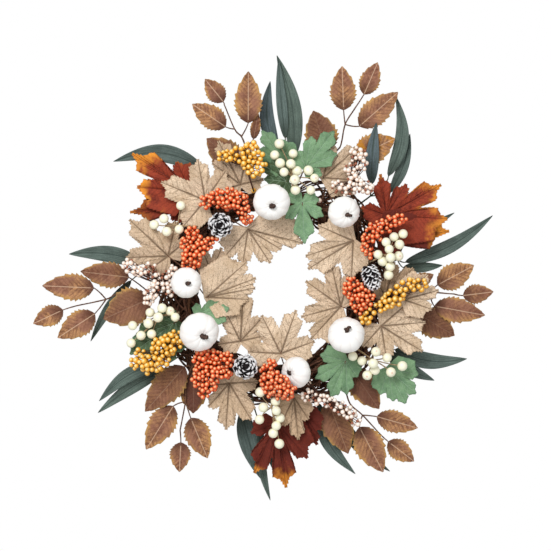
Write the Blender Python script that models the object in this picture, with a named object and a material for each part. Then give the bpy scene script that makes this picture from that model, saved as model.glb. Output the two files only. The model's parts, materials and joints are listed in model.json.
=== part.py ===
"""Harvest door wreath: a twisted vine ring that carries picks of leaves, berries, foam pumpkins
and pinecones, and swings on a wire hanging loop.

Lengths below are millimetres. X is to the right, Y runs into the door and Z is up. Places are given
from the centre of the ring, and the world origin is where the hook carries the hanging loop.
"""
import math
from collections import namedtuple

import bmesh
import bpy
from mathutils import Matrix, Vector

MM = 0.001

# Vine ring: three strands twisted about the ring's centre line, and one thin vine wound over them.
RING_RADIUS = 118
BUNDLE_RADIUS = 9
STRAND_RADIUS = 5.5
STRAND_TURNS = 5
WRAP_RADIUS = 1.8
WRAP_TURNS = 9
WRAP_GAP = 0.8
STRAND_STEPS = 36
WRAP_STEPS = 72

# Hanging loop: an eye round the rearmost strand at the top, a shank and a loop for the hook.
WIRE_RADIUS = 1.1
EYE_CLEARANCE = 1.2
SHANK_LENGTH = 10
HOOK_LOOP_RADIUS = 8
WIRE_STEPS = 14

# Leaves are stiffened fabric on wire stems.
LEAF_THICKNESS = 1.2
STEM_RADIUS = 1.3
PETIOLE_RADIUS = 1.0
STALK_WIDTH = 2.2
STALK_STEP = 0.4
LEAF_FOLD = 0.12
VINE_FRONT = -22
FRONT = Vector((0, -1, 0))

# Foam pumpkins, pinecones and berries.
PUMPKIN_RIBS = 8
PUMPKIN_HEIGHT = 0.76
CREAM_BERRY_RADIUS = 6.5
LUMP_SWELL = 1.08

STRAND_CENTRE = Vector((0, BUNDLE_RADIUS, RING_RADIUS))
EYE_RADIUS = STRAND_RADIUS + EYE_CLEARANCE + WIRE_RADIUS
HOOK_LOOP_CENTRE = STRAND_CENTRE + Vector((0, 0, EYE_RADIUS + SHANK_LENGTH + HOOK_LOOP_RADIUS))
HANG_POINT = HOOK_LOOP_CENTRE + Vector((0, 0, HOOK_LOOP_RADIUS - WIRE_RADIUS))

# Half outlines of the long leaves: place along the midrib, and half width as a part of the full one.
WILLOW = ((0.0, 0.07), (0.25, 0.44), (0.62, 0.44), (1.0, 0.05))
BEECH = ((0.0, 0.08), (0.28, 0.46), (0.62, 0.46), (1.0, 0.05))

# Lobed leaves are cut in between their lobes to these shares of the lobes' reach, or less deeply
# where the lobes stand closer than the wide angle. Sides and the wide angle are in degrees.
TAN_SINUS = 0.66
RUST_SINUS = 0.46
OAK_SINUS = 0.5
WIDE_SINUS = 42
TOOTH = 1.06
STALK_SIDE = 60
STALK_REACH = 0.5
STALK_NOTCH = 4

# A leaf: the stem point that it grows from, its base and tip as (x, z), its full width, the depths
# of its base and tip, and how far its middle swings to the side.
Leaf = namedtuple("Leaf", "fork base tip width depths bend", defaults=(0,))
# A lobed leaf: the same, with the tips of its lobes as (x, z), and the depths of its base and of its
# longest lobe's tip.
Maple = namedtuple("Maple", "fork base lobes depths")
Pick = namedtuple("Pick", "stem leaves")

WILLOW_PICKS = {
    "willow_pick_top": Pick([(13, 141, -16), (17, 166, -14)], [
        Leaf(1, (26, 172), (4, 309), 21, (-10, -12), 9),
        Leaf(1, (15, 198), (6, 304), 12, (-16, -18), -1),
        Leaf(1, (4, 180), (-5, 275), 18, (-5, -6), -9)]),
    "willow_pick_upper_right": Pick([(99, 101, -12), (128, 122, -12), (150, 142, -12)], [
        Leaf(2, (152, 148), (162, 255), 15, (-12, -14), 13),
        Leaf(1, (155, 127), (181, 205), 13, (-7, -8), 5),
        Leaf(1, (129, 137), (135, 218), 16, (-27, -33), -2)]),
    "willow_pick_right": Pick([(141, 26, -12), (164, 38, -12)], [
        Leaf(1, (174, 34), (290, 96), 17, (-12, -18), 9),
        Leaf(1, (172, 27), (224, 30), 12, (-8, -8), 1),
        Leaf(1, (176, 62), (240, 100), 9, (-6, -6))]),
    "willow_pick_lower_right": Pick([(124, -66, -12), (142, -78, -12)], [
        Leaf(1, (160, -82), (256, -94), 20, (-12, -16), 9),
        Leaf(1, (148, -84), (213, -123), 17, (-7, -10), 4)]),
    "willow_pick_bottom_right": Pick([(50, -126, -14), (54, -140, -12)], [
        Leaf(1, (59, -153), (108, -247), 17, (-10, -13), 12),
        Leaf(1, (84, -166), (154, -244), 15, (-5, -8), 8)]),
    "willow_pick_bottom": Pick([(-30, -139, -14), (-26, -160, -12)], [
        Leaf(1, (-30, -174), (-15, -256), 24, (-9, -11)),
        Leaf(1, (-18, -186), (-5, -282), 11, (-15, -16), 5),
        Leaf(1, (-14, -196), (4, -251), 9, (-5, -6))]),
    "willow_pick_lower_left": Pick([(-114, -83, -12), (-140, -100, -12)], [
        Leaf(1, (-152, -99), (-232, -150), 17, (-13, -16), 8),
        Leaf(1, (-148, -110), (-234, -166), 16, (-7, -9), 4)]),
    "willow_pick_left": Pick([(-140, 22, -12), (-168, 26, -12)], [
        Leaf(1, (-190, 10), (-244, -71), 13, (-7, -8), 4),
        Leaf(1, (-176, 34), (-272, 45), 20, (-12, -15), 6)]),
    "willow_pick_upper_left": Pick([(-88, 112, -12), (-92, 140, -12)], [
        Leaf(1, (-92, 158), (-213, 168), 21, (-12, -16), 16),
        Leaf(1, (-98, 142), (-136, 178), 18, (-7, -8), 4)]),
}

BEECH_PICKS = {
    "beech_spray_upper_left": Pick([(-30, 122, -24), (-35, 158, -26), (-38, 186, -27),
                                    (-43, 200, -27), (-52, 210, -27), (-66, 243, -28)], [
        Leaf(5, (-67, 246), (-91, 276), 27, (-28, -30)),
        Leaf(4, (-64, 213), (-108, 243), 33, (-27, -29)),
        Leaf(3, (-34, 218), (-34, 286), 37, (-29, -31)),
        Leaf(2, (-27, 197), (-21, 232), 14, (-26, -26)),
        Leaf(1, (-45, 161), (-89, 198), 40, (-25, -25))]),
    "beech_spray_upper_right": Pick([(62, 108, -24), (78, 172, -26), (88, 188, -27),
                                     (94, 216, -27), (106, 236, -28)], [
        Leaf(3, (92, 235), (90, 293), 36, (-28, -30)),
        Leaf(4, (119, 256), (137, 298), 28, (-28, -30)),
        Leaf(3, (113, 214), (164, 259), 37, (-25, -26)),
        Leaf(1, (70, 178), (52, 234), 44, (-29, -31)),
        Leaf(1, (108, 173), (160, 198), 40, (-24, -24))]),
    "beech_spray_right": Pick([(122, -8, -24), (175, -9, -26), (206, -6, -27), (238, -8, -27)], [
        Leaf(2, (216, 4), (264, 30), 36, (-29, -31)),
        Leaf(3, (250, -10), (290, -5), 26, (-27, -28)),
        Leaf(2, (212, -24), (279, -36), 34, (-26, -27)),
        Leaf(1, (190, -34), (239, -63), 40, (-23, -23)),
        Leaf(1, (181, 3), (211, 18), 22, (-24, -24))]),
    "beech_spray_lower_right": Pick([(80, -94, -24), (92, -124, -26), (100, -152, -27),
                                     (117, -168, -28), (140, -193, -28)], [
        Leaf(3, (113, -184), (144, -243), 42, (-29, -31)),
        Leaf(3, (136, -170), (190, -185), 31, (-28, -29)),
        Leaf(4, (151, -203), (185, -229), 29, (-28, -29)),
        Leaf(0, (103, -108), (139, -160), 40, (-24, -25)),
        Leaf(1, (72, -150), (98, -219), 45, (-25, -27))]),
    "beech_spray_lower_left": Pick([(-86, -84, -24), (-108, -104, -26), (-116, -130, -27),
                                    (-117, -150, -27), (-124, -188, -28)], [
        Leaf(3, (-133, -156), (-169, -213), 38, (-29, -31)),
        Leaf(4, (-123, -204), (-125, -243), 28, (-28, -29)),
        Leaf(3, (-110, -172), (-88, -225), 35, (-26, -27)),
        Leaf(1, (-118, -104), (-170, -163), 42, (-30, -32)),
        Leaf(1, (-106, -112), (-107, -166), 38, (-23, -23))]),
    "beech_spray_left": Pick([(-120, -8, -24), (-164, -7, -26), (-206, -8, -27), (-222, -15, -27),
                              (-263, -24, -28)], [
        Leaf(3, (-238, 0), (-306, 3), 36, (-29, -31)),
        Leaf(4, (-279, -29), (-318, -47), 28, (-28, -29)),
        Leaf(3, (-237, -34), (-286, -66), 35, (-26, -27)),
        Leaf(1, (-192, 14), (-256, 22), 34, (-24, -25)),
        Leaf(1, (-164, -14), (-225, -41), 46, (-30, -32))]),
}

RUST_PICKS = {
    "rust_maple_left": Pick([(-92, 92, -30), (-98, 108, -36)], [
        Maple(1, (-110, 127), [(-180, 133), (-187, 177), (-128, 166)], (-36, -38)),
        Maple(1, (-116, 108), [(-135, 90), (-190, 100), (-137, 120)], (-33, -34))]),
    "rust_maple_right": Pick([(116, 70, -30), (138, 74, -36)], [
        Maple(1, (148, 96), [(228, 91), (220, 136), (174, 137), (140, 150), (115, 107)], (-37, -40)),
        Maple(1, (158, 62), [(176, 36), (231, 75)], (-34, -35))]),
    "rust_maple_bottom": Pick([(6, -122, -30), (8, -158, -35)], [
        Maple(1, (4, -178), [(-30, -191), (-26, -244), (16, -263), (44, -224)], (-35, -37)),
        Maple(1, (36, -160), [(71, -189), (62, -207)], (-32, -33))]),
}

TAN_PICKS = {
    "tan_maple_upper_left": Pick([(-84, 84, -40), (-78, 104, -45)], [
        Maple(1, (-90, 115), [(-119, 81), (-148, 139), (-100, 169), (-63, 154)], (-47, -49)),
        Maple(1, (-44, 136), [(-69, 127), (-81, 164), (-73, 193), (-34, 185), (-14, 143)], (-43, -44)),
        Maple(1, (-34, 77), [(-65, 41), (-41, 32), (-5, 33), (9, 51), (38, 59)], (-45, -43))]),
    "tan_maple_left": Pick([(-112, 16, -38), (-110, 20, -46)], [
        Maple(1, (-139, 42), [(-166, 22), (-194, 40), (-190, 90), (-129, 87), (-115, 62)], (-43, -44)),
        Maple(1, (-88, -12), [(-34, -15), (-25, 0), (-24, 13), (-36, 34)], (-50, -49)),
        Maple(1, (-82, 20), [(-41, 30), (-69, 53), (-94, 49)], (-43, -41))]),
    "tan_maple_lower_left": Pick([(-82, -78, -40), (-68, -92, -46)], [
        Maple(1, (-44, -70), [(-73, -74), (-63, -32), (-40, -1), (-16, -40), (-13, -63)], (-45, -43)),
        Maple(1, (-59, -125), [(-21, -123), (-30, -173), (-63, -186), (-86, -156), (-83, -128)],
                  (-44, -46))]),
    "tan_maple_bottom": Pick([(20, -118, -40), (18, -112, -46)], [
        Maple(1, (9, -86), [(-34, -84), (-16, -36), (29, -29), (53, -70)], (-51, -48)),
        Maple(1, (26, -143), [(9, -180), (32, -199), (45, -172)], (-46, -44))]),
    "tan_maple_right": Pick([(122, -30, -40), (126, -32, -46)], [
        Maple(1, (88, -24), [(49, -67), (36, -38), (42, 9), (75, 33), (100, 17)], (-46, -43)),
        Maple(1, (170, -15), [(207, -28), (216, -3), (201, 18)], (-49, -51)),
        Maple(1, (147, -13), [(183, 26), (158, 34), (136, 9)], (-42, -42)),
        Maple(1, (141, -50), [(117, -77), (148, -94), (195, -83), (199, -45), (177, -18)], (-45, -46))]),
    "tan_maple_upper_right": Pick([(96, 84, -40), (92, 82, -46)], [
        Maple(1, (104, 62), [(102, 13), (45, 25), (42, 42), (58, 82)], (-48, -45)),
        Maple(1, (65, 145), [(115, 141), (111, 186), (75, 190)], (-43, -44))]),
}

OAK_PICKS = {
    "oak_pick_top": Pick([(30, 112, -50), (30, 134, -46)], [
        Maple(1, (41, 158), [(63, 148), (83, 176), (79, 206), (49, 199), (33, 180)], (-49, -50)),
        Maple(0, (37, 112), [(16, 121), (15, 91), (40, 58), (65, 94), (59, 116)], (-56, -58)),
        Maple(1, (18, 162), [(12, 195), (-16, 207), (-21, 182), (-5, 153)], (-40, -42)),
        Maple(1, (16, 140), [(-3, 169), (-17, 165), (-13, 143), (9, 120)], (-45, -45))]),
    "oak_pick_lower_right": Pick([(122, -80, -33), (126, -92, -38)], [
        Maple(1, (95, -96), [(61, -88), (54, -119), (75, -143), (96, -140), (110, -117)], (-38, -41)),
        Maple(1, (150, -107), [(140, -140), (157, -149), (173, -152), (187, -139), (190, -114)],
                  (-38, -40))]),
    "oak_pick_lower_left": Pick([(-104, -52, -38), (-112, -50, -46)], [
        Maple(1, (-129, -45), [(-153, -32), (-186, -66), (-189, -87), (-137, -98), (-123, -84)],
                  (-46, -49)),
        Maple(1, (-98, -34), [(-59, -26), (-71, -18), (-102, -20)], (-52, -54))]),
}

# Foam pumpkins: place (x, z), radius, depth of the back, the lean of the stem's axis in degrees to
# the right and upwards, and where the pumpkin's wire meets the ring.
Pumpkin = namedtuple("Pumpkin", "place radius back lean wire")
PUMPKINS = {
    "pumpkin_top": Pumpkin((-3, 112), 26, -61, (0, -22), (-4, 112)),
    "pumpkin_upper_right": Pumpkin((91, 99), 21, -61, (20, -20), (83, 95)),
    "pumpkin_lower_right": Pumpkin((94, -61), 26, -61, (0, 25), (93, -61)),
    "pumpkin_bottom": Pumpkin((29, -110), 21, -55, (-28, -4), (29, -110)),
    "pumpkin_lower_left": Pumpkin((-97, -57), 26, -60, (18, -20), (-97, -57)),
    "pumpkin_left": Pumpkin((-114, 7), 21, -60, (8, -6), (-117, 6)),
}

# Pinecones: place (x, z), radius, length, depth of the centre, which way the tip points, and where
# the cone's wire meets the ring.
Pinecone = namedtuple("Pinecone", "place radius length depth tip wire")
PINECONES = {
    "pinecone_upper_left": Pinecone((-69, 82), 18, 32, -72, (0, -1, 0), (-69, 82)),
    "pinecone_right": Pinecone((128, 14), 13, 38, -66, (0.3, -0.2, -0.93), (127, 14)),
    "pinecone_lower_left": Pinecone((-36, -103), 18, 32, -72, (0.1, -1, 0.1), (-36, -103)),
}

# Berry masses: the stem's points and the lumps of the mass as (x, z, depth, radius).
Mass = namedtuple("Mass", "stem lumps")
ORANGE_BERRIES = {
    "orange_berries_upper_left": Mass([(-61, 113, VINE_FRONT), (-60, 114, -60)], [
        (-88, 112, -62, 9), (-74, 117, -66, 12), (-59, 117, -66, 15), (-46, 114, -66, 12),
        (-40, 102, -64, 9), (-36, 91, -62, 8)]),
    "orange_berries_left": Mass([(-101, 56, VINE_FRONT), (-100, 57, -60)], [
        (-107, 72, -63, 9), (-112, 58, -64, 11), (-100, 58, -66, 11), (-87, 57, -66, 8),
        (-78, 62, -64, 5), (-110, 43, -64, 11), (-98, 45, -64, 8), (-114, 32, -62, 8),
        (-103, 34, -62, 8)]),
    "orange_berries_lower_left": Mass([(-83, -101, VINE_FRONT), (-84, -100, -60)], [
        (-94, -92, -62, 12), (-78, -92, -62, 12), (-63, -94, -62, 11), (-94, -110, -64, 12),
        (-77, -110, -66, 13), (-62, -110, -64, 8), (-99, -121, -62, 9), (-84, -124, -62, 12),
        (-92, -136, -60, 8)]),
    "orange_berries_bottom": Mass([(0, -118, VINE_FRONT), (-3, -120, -64)], [
        (-9, -107, -68, 9), (-3, -100, -68, 7), (-8, -123, -68, 11), (0, -118, -78, 9),
        (3, -116, -88, 8), (13, -121, -93, 8), (12, -129, -89, 9), (20, -132, -89, 8),
        (18, -138, -84, 7), (8, -138, -74, 8), (-5, -135, -67, 7), (2, -130, -76, 9)]),
    "orange_berries_right": Mass([(113, -9, VINE_FRONT), (112, -8, -62)], [
        (101, 5, -63, 10), (109, 1, -62, 8), (98, -5, -62, 8), (114, -8, -66, 11), (124, -12, -64, 7),
        (108, -18, -64, 9), (120, -18, -64, 8), (111, -28, -62, 7)]),
    "orange_berries_upper_right": Mass([(117, 57, VINE_FRONT), (118, 58, -56), (131, 63, -60)], [
        (166, 90, -62, 8), (154, 87, -64, 9), (141, 81, -64, 9), (128, 77, -62, 8),
        (147, 78, -63, 6), (133, 67, -62, 8), (121, 65, -62, 7), (121, 51, -62, 8),
        (127, 44, -60, 5)]),
}
YELLOW_BERRIES = {
    "yellow_berries_top": Mass([(-27, 128, VINE_FRONT), (-27, 129, -50), (-37, 160, -60)], [
        (-69, 173, -62, 7), (-57, 173, -62, 9), (-44, 178, -66, 9), (-30, 180, -66, 11),
        (-37, 166, -66, 9), (-21, 173, -64, 8), (-21, 158, -64, 11), (-34, 158, -64, 8),
        (-25, 150, -62, 5)]),
    "yellow_berries_lower_left": Mass([(-112, -67, VINE_FRONT), (-113, -68, -54), (-138, -80, -58)], [
        (-129, -61, -60, 7), (-136, -66, -62, 9), (-147, -74, -64, 11), (-125, -71, -62, 8),
        (-154, -78, -64, 9), (-137, -82, -62, 8), (-176, -87, -62, 8), (-181, -98, -62, 8),
        (-169, -96, -64, 11), (-154, -96, -64, 9), (-164, -104, -62, 8), (-144, -95, -62, 7),
        (-150, -104, -61, 6), (-141, -89, -62, 7)]),
    "yellow_berries_right": Mass([(127, -18, VINE_FRONT), (128, -18, -54), (150, -12, -60)], [
        (193, 5, -62, 8), (180, 4, -64, 9), (170, 1, -64, 8), (162, -5, -64, 9), (153, -13, -64, 11),
        (147, -20, -62, 9), (162, -16, -62, 8), (135, -28, -60, 7), (125, -33, -60, 8),
        (120, -41, -58, 8), (141, -24, -61, 7)]),
}
PINK_BERRIES = {
    "pink_berries_upper_right": Mass([(59, 115, VINE_FRONT), (60, 116, -51), (104, 139, -60)], [
        (106, 176, -60, 8), (115, 176, -60, 7), (107, 168, -61, 8), (114, 161, -62, 8),
        (100, 156, -60, 8), (104, 145, -62, 8), (108, 135, -62, 11), (121, 131, -62, 9),
        (83, 133, -60, 8), (95, 127, -60, 7)]),
    "pink_berries_left": Mass([(-130, 9, VINE_FRONT), (-131, 8, -54), (-145, 4, -60)], [
        (-190, 30, -62, 9), (-183, 24, -62, 7), (-174, 22, -61, 8), (-162, 26, -62, 8),
        (-157, 14, -62, 8), (-143, 12, -62, 8), (-146, 4, -62, 8), (-154, 3, -62, 8),
        (-161, -7, -64, 9), (-164, -16, -62, 7), (-137, -3, -62, 8), (-137, 20, -61, 6),
        (-133, 27, -60, 5)]),
    "pink_berries_bottom_right": Mass([(45, -123, VINE_FRONT), (46, -124, -50), (62, -143, -59)], [
        (45, -141, -60, 9), (59, -145, -62, 8), (68, -148, -62, 8), (77, -151, -62, 8),
        (87, -157, -62, 9), (98, -164, -62, 9), (106, -173, -60, 8)]),
}

# Cream berries: the stem's points and each berry as (x, z, depth).
Berries = namedtuple("Berries", "stem berries")
CREAM_BERRIES = {
    "cream_berries_top": Berries([(24, 128, VINE_FRONT), (24, 129, -60), (24, 146, -62)], [
        (7, 189, -58), (1, 174, -62), (8, 163, -70), (25, 176, -60), (22, 162, -72),
        (13, 151, -80), (27, 141, -78), (30, 153, -66), (45, 154, -60), (53, 144, -58),
        (28, 128, -70), (48, 128, -62)]),
    "cream_berries_right": Berries([(126, 34, VINE_FRONT), (127, 35, -54), (148, 44, -58)], [
        (146, 60, -75), (157, 67, -60), (169, 71, -58), (164, 57, -64), (150, 51, -74),
        (136, 44, -64), (142, 35, -60), (152, 40, -72), (163, 42, -60), (152, 28, -62),
        (150, 17, -58)]),
    "cream_berries_lower_right": Berries([(105, -77, VINE_FRONT), (106, -78, -54), (130, -94, -57)], [
        (103, -89, -66), (115, -95, -64), (129, -98, -76), (132, -107, -66), (122, -114, -60),
        (148, -91, -60), (153, -110, -58), (168, -102, -58), (133, -83, -68)]),
    "cream_berries_bottom": Berries([(-4, -128, VINE_FRONT), (-4, -129, -52), (-3, -156, -56)], [
        (2, -148, -62), (3, -160, -66), (8, -170, -58), (3, -180, -60), (-1, -190, -56),
        (7, -204, -54), (-14, -156, -60), (-19, -172, -58), (-18, -136, -62)]),
    "cream_berries_left": Berries([(-126, -32, VINE_FRONT), (-127, -33, -54), (-150, -36, -57)], [
        (-162, -32, -60), (-151, -38, -72), (-164, -46, -64), (-136, -30, -62), (-129, -38, -64),
        (-146, -26, -69), (-185, -49, -58), (-160, -60, -60), (-174, -62, -58), (-187, -72, -58)]),
    "cream_berries_upper_left": Berries([(-101, 81, VINE_FRONT), (-102, 81, -54), (-126, 82, -56)], [
        (-140, 74, -60), (-124, 77, -62), (-144, 91, -58), (-157, 83, -56), (-122, 108, -58)]),
}


def clear_scene():
    for obj in list(bpy.data.objects):
        bpy.data.objects.remove(obj, do_unlink=True)


def material(name, colour, roughness, metallic=0.0):
    made = bpy.data.materials.new(name)
    made.use_nodes = True
    shader = made.node_tree.nodes["Principled BSDF"]
    shader.inputs["Base Color"].default_value = (*colour, 1.0)
    shader.inputs["Roughness"].default_value = roughness
    shader.inputs["Metallic"].default_value = metallic
    made.diffuse_color = (*colour, 1.0)
    return made


def place(x, z, depth):
    return Vector((x, depth, z))


def solid(corners, faces):
    """One closed mesh, in millimetres from the ring's centre, with its faces turned outwards."""
    mesh = bpy.data.meshes.new("solid")
    work = bmesh.new()
    points = [work.verts.new(corner) for corner in corners]
    for face in faces:
        work.faces.new([points[i] for i in face])
    bmesh.ops.triangulate(work, faces=work.faces)
    bmesh.ops.recalc_face_normals(work, faces=work.faces)
    work.to_mesh(mesh)
    work.free()
    return mesh


def tube(points, radius, sides=5, closed=False, turn=0.3):
    """A round bar along the points, in flat-ended form or joined up into a ring."""
    count = len(points)
    corners = []
    side = None
    for i, point in enumerate(points):
        before = points[i - 1] if closed or i else point
        after = points[(i + 1) % count] if closed or i < count - 1 else point
        along = (after - before).normalized()
        if side is None:
            helper = Vector((1, 0, 0)) if abs(along.x) < 0.7 else Vector((0, 0, 1))
            side = along.cross(helper)
        side = (side - along * side.dot(along)).normalized()
        up = along.cross(side)
        for k in range(sides):
            angle = turn + 2 * math.pi * k / sides
            corners.append(point + radius * (math.cos(angle) * side + math.sin(angle) * up))
    faces = []
    for i in range(count if closed else count - 1):
        for k in range(sides):
            near = i * sides
            far = (i + 1) % count * sides
            faces.append((near + k, near + (k + 1) % sides, far + (k + 1) % sides, far + k))
    if not closed:
        faces.append(tuple(range(sides)))
        faces.append(tuple(range((count - 1) * sides, count * sides)))
    return solid(corners, faces)


def ring_point(angle, out, depth):
    """A point round the vine ring: angle from the right, reach past its centre line, and depth."""
    reach = RING_RADIUS + out
    return Vector((reach * math.cos(angle), depth, reach * math.sin(angle)))


def wound_round(turns, radius, phase, steps):
    """Points of a vine wound round the ring's centre line, with its phase given at the top."""
    points = []
    for i in range(steps):
        angle = 2 * math.pi * i / steps
        twist = phase + turns * (angle - math.pi / 2)
        points.append(ring_point(angle, radius * math.cos(twist), radius * math.sin(twist)))
    return points


def long_leaf(leaf, outline, fork):
    """A folded plate about a midrib, with a flat stalk from the stem: willow and beech."""
    base = place(*leaf.base, leaf.depths[0])
    tip = place(*leaf.tip, leaf.depths[1])
    along = (tip - base).normalized()
    across = along.cross(FRONT).normalized()
    face = across.cross(along)
    stalk_across = (base - fork).cross(FRONT).normalized()
    stations = [(fork, stalk_across * STALK_WIDTH / 2, face)]
    for share, half in outline:
        middle = base.lerp(tip, share) + across * leaf.bend * math.sin(math.pi * share)
        stations.append((middle, across * half * leaf.width, face))
    corners = []
    for middle, reach, face in stations:
        for side in (-1, 0, 1):
            spot = middle + side * reach + face * abs(side) * LEAF_FOLD * reach.length
            corners.append(spot + face * LEAF_THICKNESS / 2)
            corners.append(spot - face * LEAF_THICKNESS / 2)
    faces = []
    last = len(stations) - 1
    for i in range(last):
        row = 6 * i
        for top in (0, 2):
            faces.append((row + top, row + top + 2, row + top + 8, row + top + 6))
            faces.append((row + top + 1, row + top + 7, row + top + 9, row + top + 3))
        faces.append((row, row + 6, row + 7, row + 1))
        faces.append((row + 4, row + 5, row + 11, row + 10))
    for row in (0, 6 * last):
        faces.append((row, row + 1, row + 3, row + 2))
        faces.append((row + 2, row + 3, row + 5, row + 4))
    return [solid(corners, faces)]


def turned_in_face(arm, degrees):
    """An arm in the plane of the door, turned about Y, with X turning towards Z."""
    angle = math.radians(degrees)
    return Vector((arm.x * math.cos(angle) - arm.z * math.sin(angle), 0,
                   arm.x * math.sin(angle) + arm.z * math.cos(angle)))


def maple_leaf(leaf, sinus, fork):
    """A plate with pointed lobes round the end of its stalk, cut in between them to a share of
    their reach, and with one tooth on each side of every lobe."""
    base = place(*leaf.base, leaf.depths[0])
    tips = [Vector((x, 0, z)) - Vector((base.x, 0, base.z)) for x, z in leaf.lobes]
    longest = max(tips, key=lambda tip: tip.length)
    middle = math.atan2(longest.z, longest.x)
    tips.sort(key=lambda tip: (math.atan2(tip.z, tip.x) - middle + math.pi) % (2 * math.pi))
    outline = []
    for tip, after in zip(tips, tips[1:] + [None]):
        outline.append(tip)
        if after:
            depth = (1 - sinus) * min(math.degrees(tip.angle(after)) / WIDE_SINUS, 1.1)
            reach = (1 - depth) * math.sqrt(tip.length * after.length)
            dip = (tip.normalized() + after.normalized()).normalized()
            dip *= min(reach, 0.9 * min(tip.length, after.length))
            outline += [tip.lerp(dip, 0.45) * TOOTH, dip, after.lerp(dip, 0.45) * TOOTH]
    first = turned_in_face(tips[0], -STALK_SIDE) * STALK_REACH
    last = turned_in_face(tips[-1], STALK_SIDE) * STALK_REACH
    behind = (math.atan2(first.z, first.x) - math.atan2(last.z, last.x)) % (2 * math.pi) / 2
    notch = turned_in_face(last.normalized(), math.degrees(behind)) * STALK_NOTCH
    outline = [first] + outline + [last, notch]
    corners = [base + FRONT * LEAF_THICKNESS / 2, base - FRONT * LEAF_THICKNESS / 2]
    for spot in outline:
        depth = (leaf.depths[1] - leaf.depths[0]) * spot.length / longest.length
        spot = base + spot + Vector((0, depth, 0))
        corners.append(spot + FRONT * LEAF_THICKNESS / 2)
        corners.append(spot - FRONT * LEAF_THICKNESS / 2)
    faces = []
    count = len(outline)
    for i in range(count):
        near = 2 + 2 * i
        far = 2 + 2 * ((i + 1) % count)
        faces.append((0, near, far))
        faces.append((1, far + 1, near + 1))
        faces.append((near, near + 1, far + 1, far))
    stalk = tube([fork, base + longest * 0.1], PETIOLE_RADIUS, sides=3)
    return [solid(corners, faces), stalk]


def ball(centre, radius):
    mesh = bpy.data.meshes.new("ball")
    work = bmesh.new()
    bmesh.ops.create_icosphere(work, subdivisions=1, radius=radius,
                               matrix=Matrix.Translation(centre) @ Matrix.Rotation(0.4, 4, (1, 2, 3)))
    work.to_mesh(mesh)
    work.free()
    return mesh


def turned(profile, sides, matrix, ripple=None):
    """A closed turned shape from (radius, height) points, with poles at its first and last height."""
    corners = [Vector((0, 0, profile[0][1]))]
    for radius, height in profile[1:-1]:
        for k in range(sides):
            swell = ripple(k) if ripple else 1.0
            angle = 2 * math.pi * k / sides
            corners.append(Vector((radius * swell * math.cos(angle), radius * swell * math.sin(angle),
                                   height)))
    corners.append(Vector((0, 0, profile[-1][1])))
    top = len(corners) - 1
    rows = len(profile) - 2
    faces = []
    for k in range(sides):
        far = (k + 1) % sides
        faces.append((0, 1 + far, 1 + k))
        faces.append((top, 1 + (rows - 1) * sides + k, 1 + (rows - 1) * sides + far))
        for i in range(rows - 1):
            row = 1 + i * sides
            faces.append((row + k, row + far, row + sides + far, row + sides + k))
    return solid([matrix @ corner for corner in corners], faces)


def aim(centre, direction):
    """The placement that turns local +Z to a direction."""
    turn = Vector((0, 0, 1)).rotation_difference(Vector(direction).normalized())
    return Matrix.Translation(centre) @ turn.to_matrix().to_4x4()


def make_object(name, mesh, finish, parent, smooth=False):
    """A sub-part whose origin is its parent's joint, with the mesh moved there in metres."""
    origin = STRAND_CENTRE if parent else HANG_POINT
    mesh.transform(Matrix.Scale(MM, 4) @ Matrix.Translation(-origin))
    mesh.materials.clear()
    mesh.materials.append(finish)
    mesh.name = name
    if smooth:
        mesh.shade_smooth()
        mesh.set_sharp_from_angle(angle=math.radians(35))
    made = bpy.data.objects.new(name, mesh)
    bpy.context.scene.collection.objects.link(made)
    made.parent = parent
    return made


def fuse(solids):
    """The one closed body that crossing solids make together."""
    scene = bpy.context.scene
    rest = bpy.data.collections.new("solids")
    scene.collection.children.link(rest)
    for mesh in solids[1:]:
        rest.objects.link(bpy.data.objects.new("solid", mesh))
    first = bpy.data.objects.new("first", solids[0])
    scene.collection.objects.link(first)
    join = first.modifiers.new("join", "BOOLEAN")
    join.operation = "UNION"
    join.solver = "EXACT"
    join.operand_type = "COLLECTION"
    join.collection = rest
    shape = first.evaluated_get(bpy.context.evaluated_depsgraph_get())
    mesh = bpy.data.meshes.new_from_object(shape)
    for obj in list(rest.objects) + [first]:
        bpy.data.objects.remove(obj, do_unlink=True)
    bpy.data.collections.remove(rest)
    return mesh


def stem_solids(stem):
    """A pick's main stem."""
    points = [place(*point) for point in stem]
    return tube(points, STEM_RADIUS, sides=4), points


def leaf_pick(pick, outline, shape):
    """A spray: a main stem, and leaves whose stalks grow from its points."""
    stem, points = stem_solids(pick.stem)
    solids = [stem]
    for k, leaf in enumerate(pick.leaves):
        solids += shape(leaf, outline, points[leaf.fork] + FRONT * STALK_STEP * (k - 2))
    return fuse(solids)


def berry_mass(mass):
    """A mass of small beads as one lumpy body on its stem."""
    stem, points = stem_solids(mass.stem)
    solids = [stem]
    for x, z, depth, radius in mass.lumps:
        centre = place(x, z, depth)
        solids.append(ball(centre, radius * LUMP_SWELL))
    return fuse(solids)


def berry_spray(spray):
    """Large berries, each on its own stalk."""
    stem, points = stem_solids(spray.stem)
    solids = [stem, ball(points[-1], STEM_RADIUS * 2.4)]
    for x, z, depth in spray.berries:
        centre = place(x, z, depth)
        solids.append(ball(centre, CREAM_BERRY_RADIUS))
        solids.append(tube([points[-1], centre], PETIOLE_RADIUS, sides=3))
    return fuse(solids)


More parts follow.
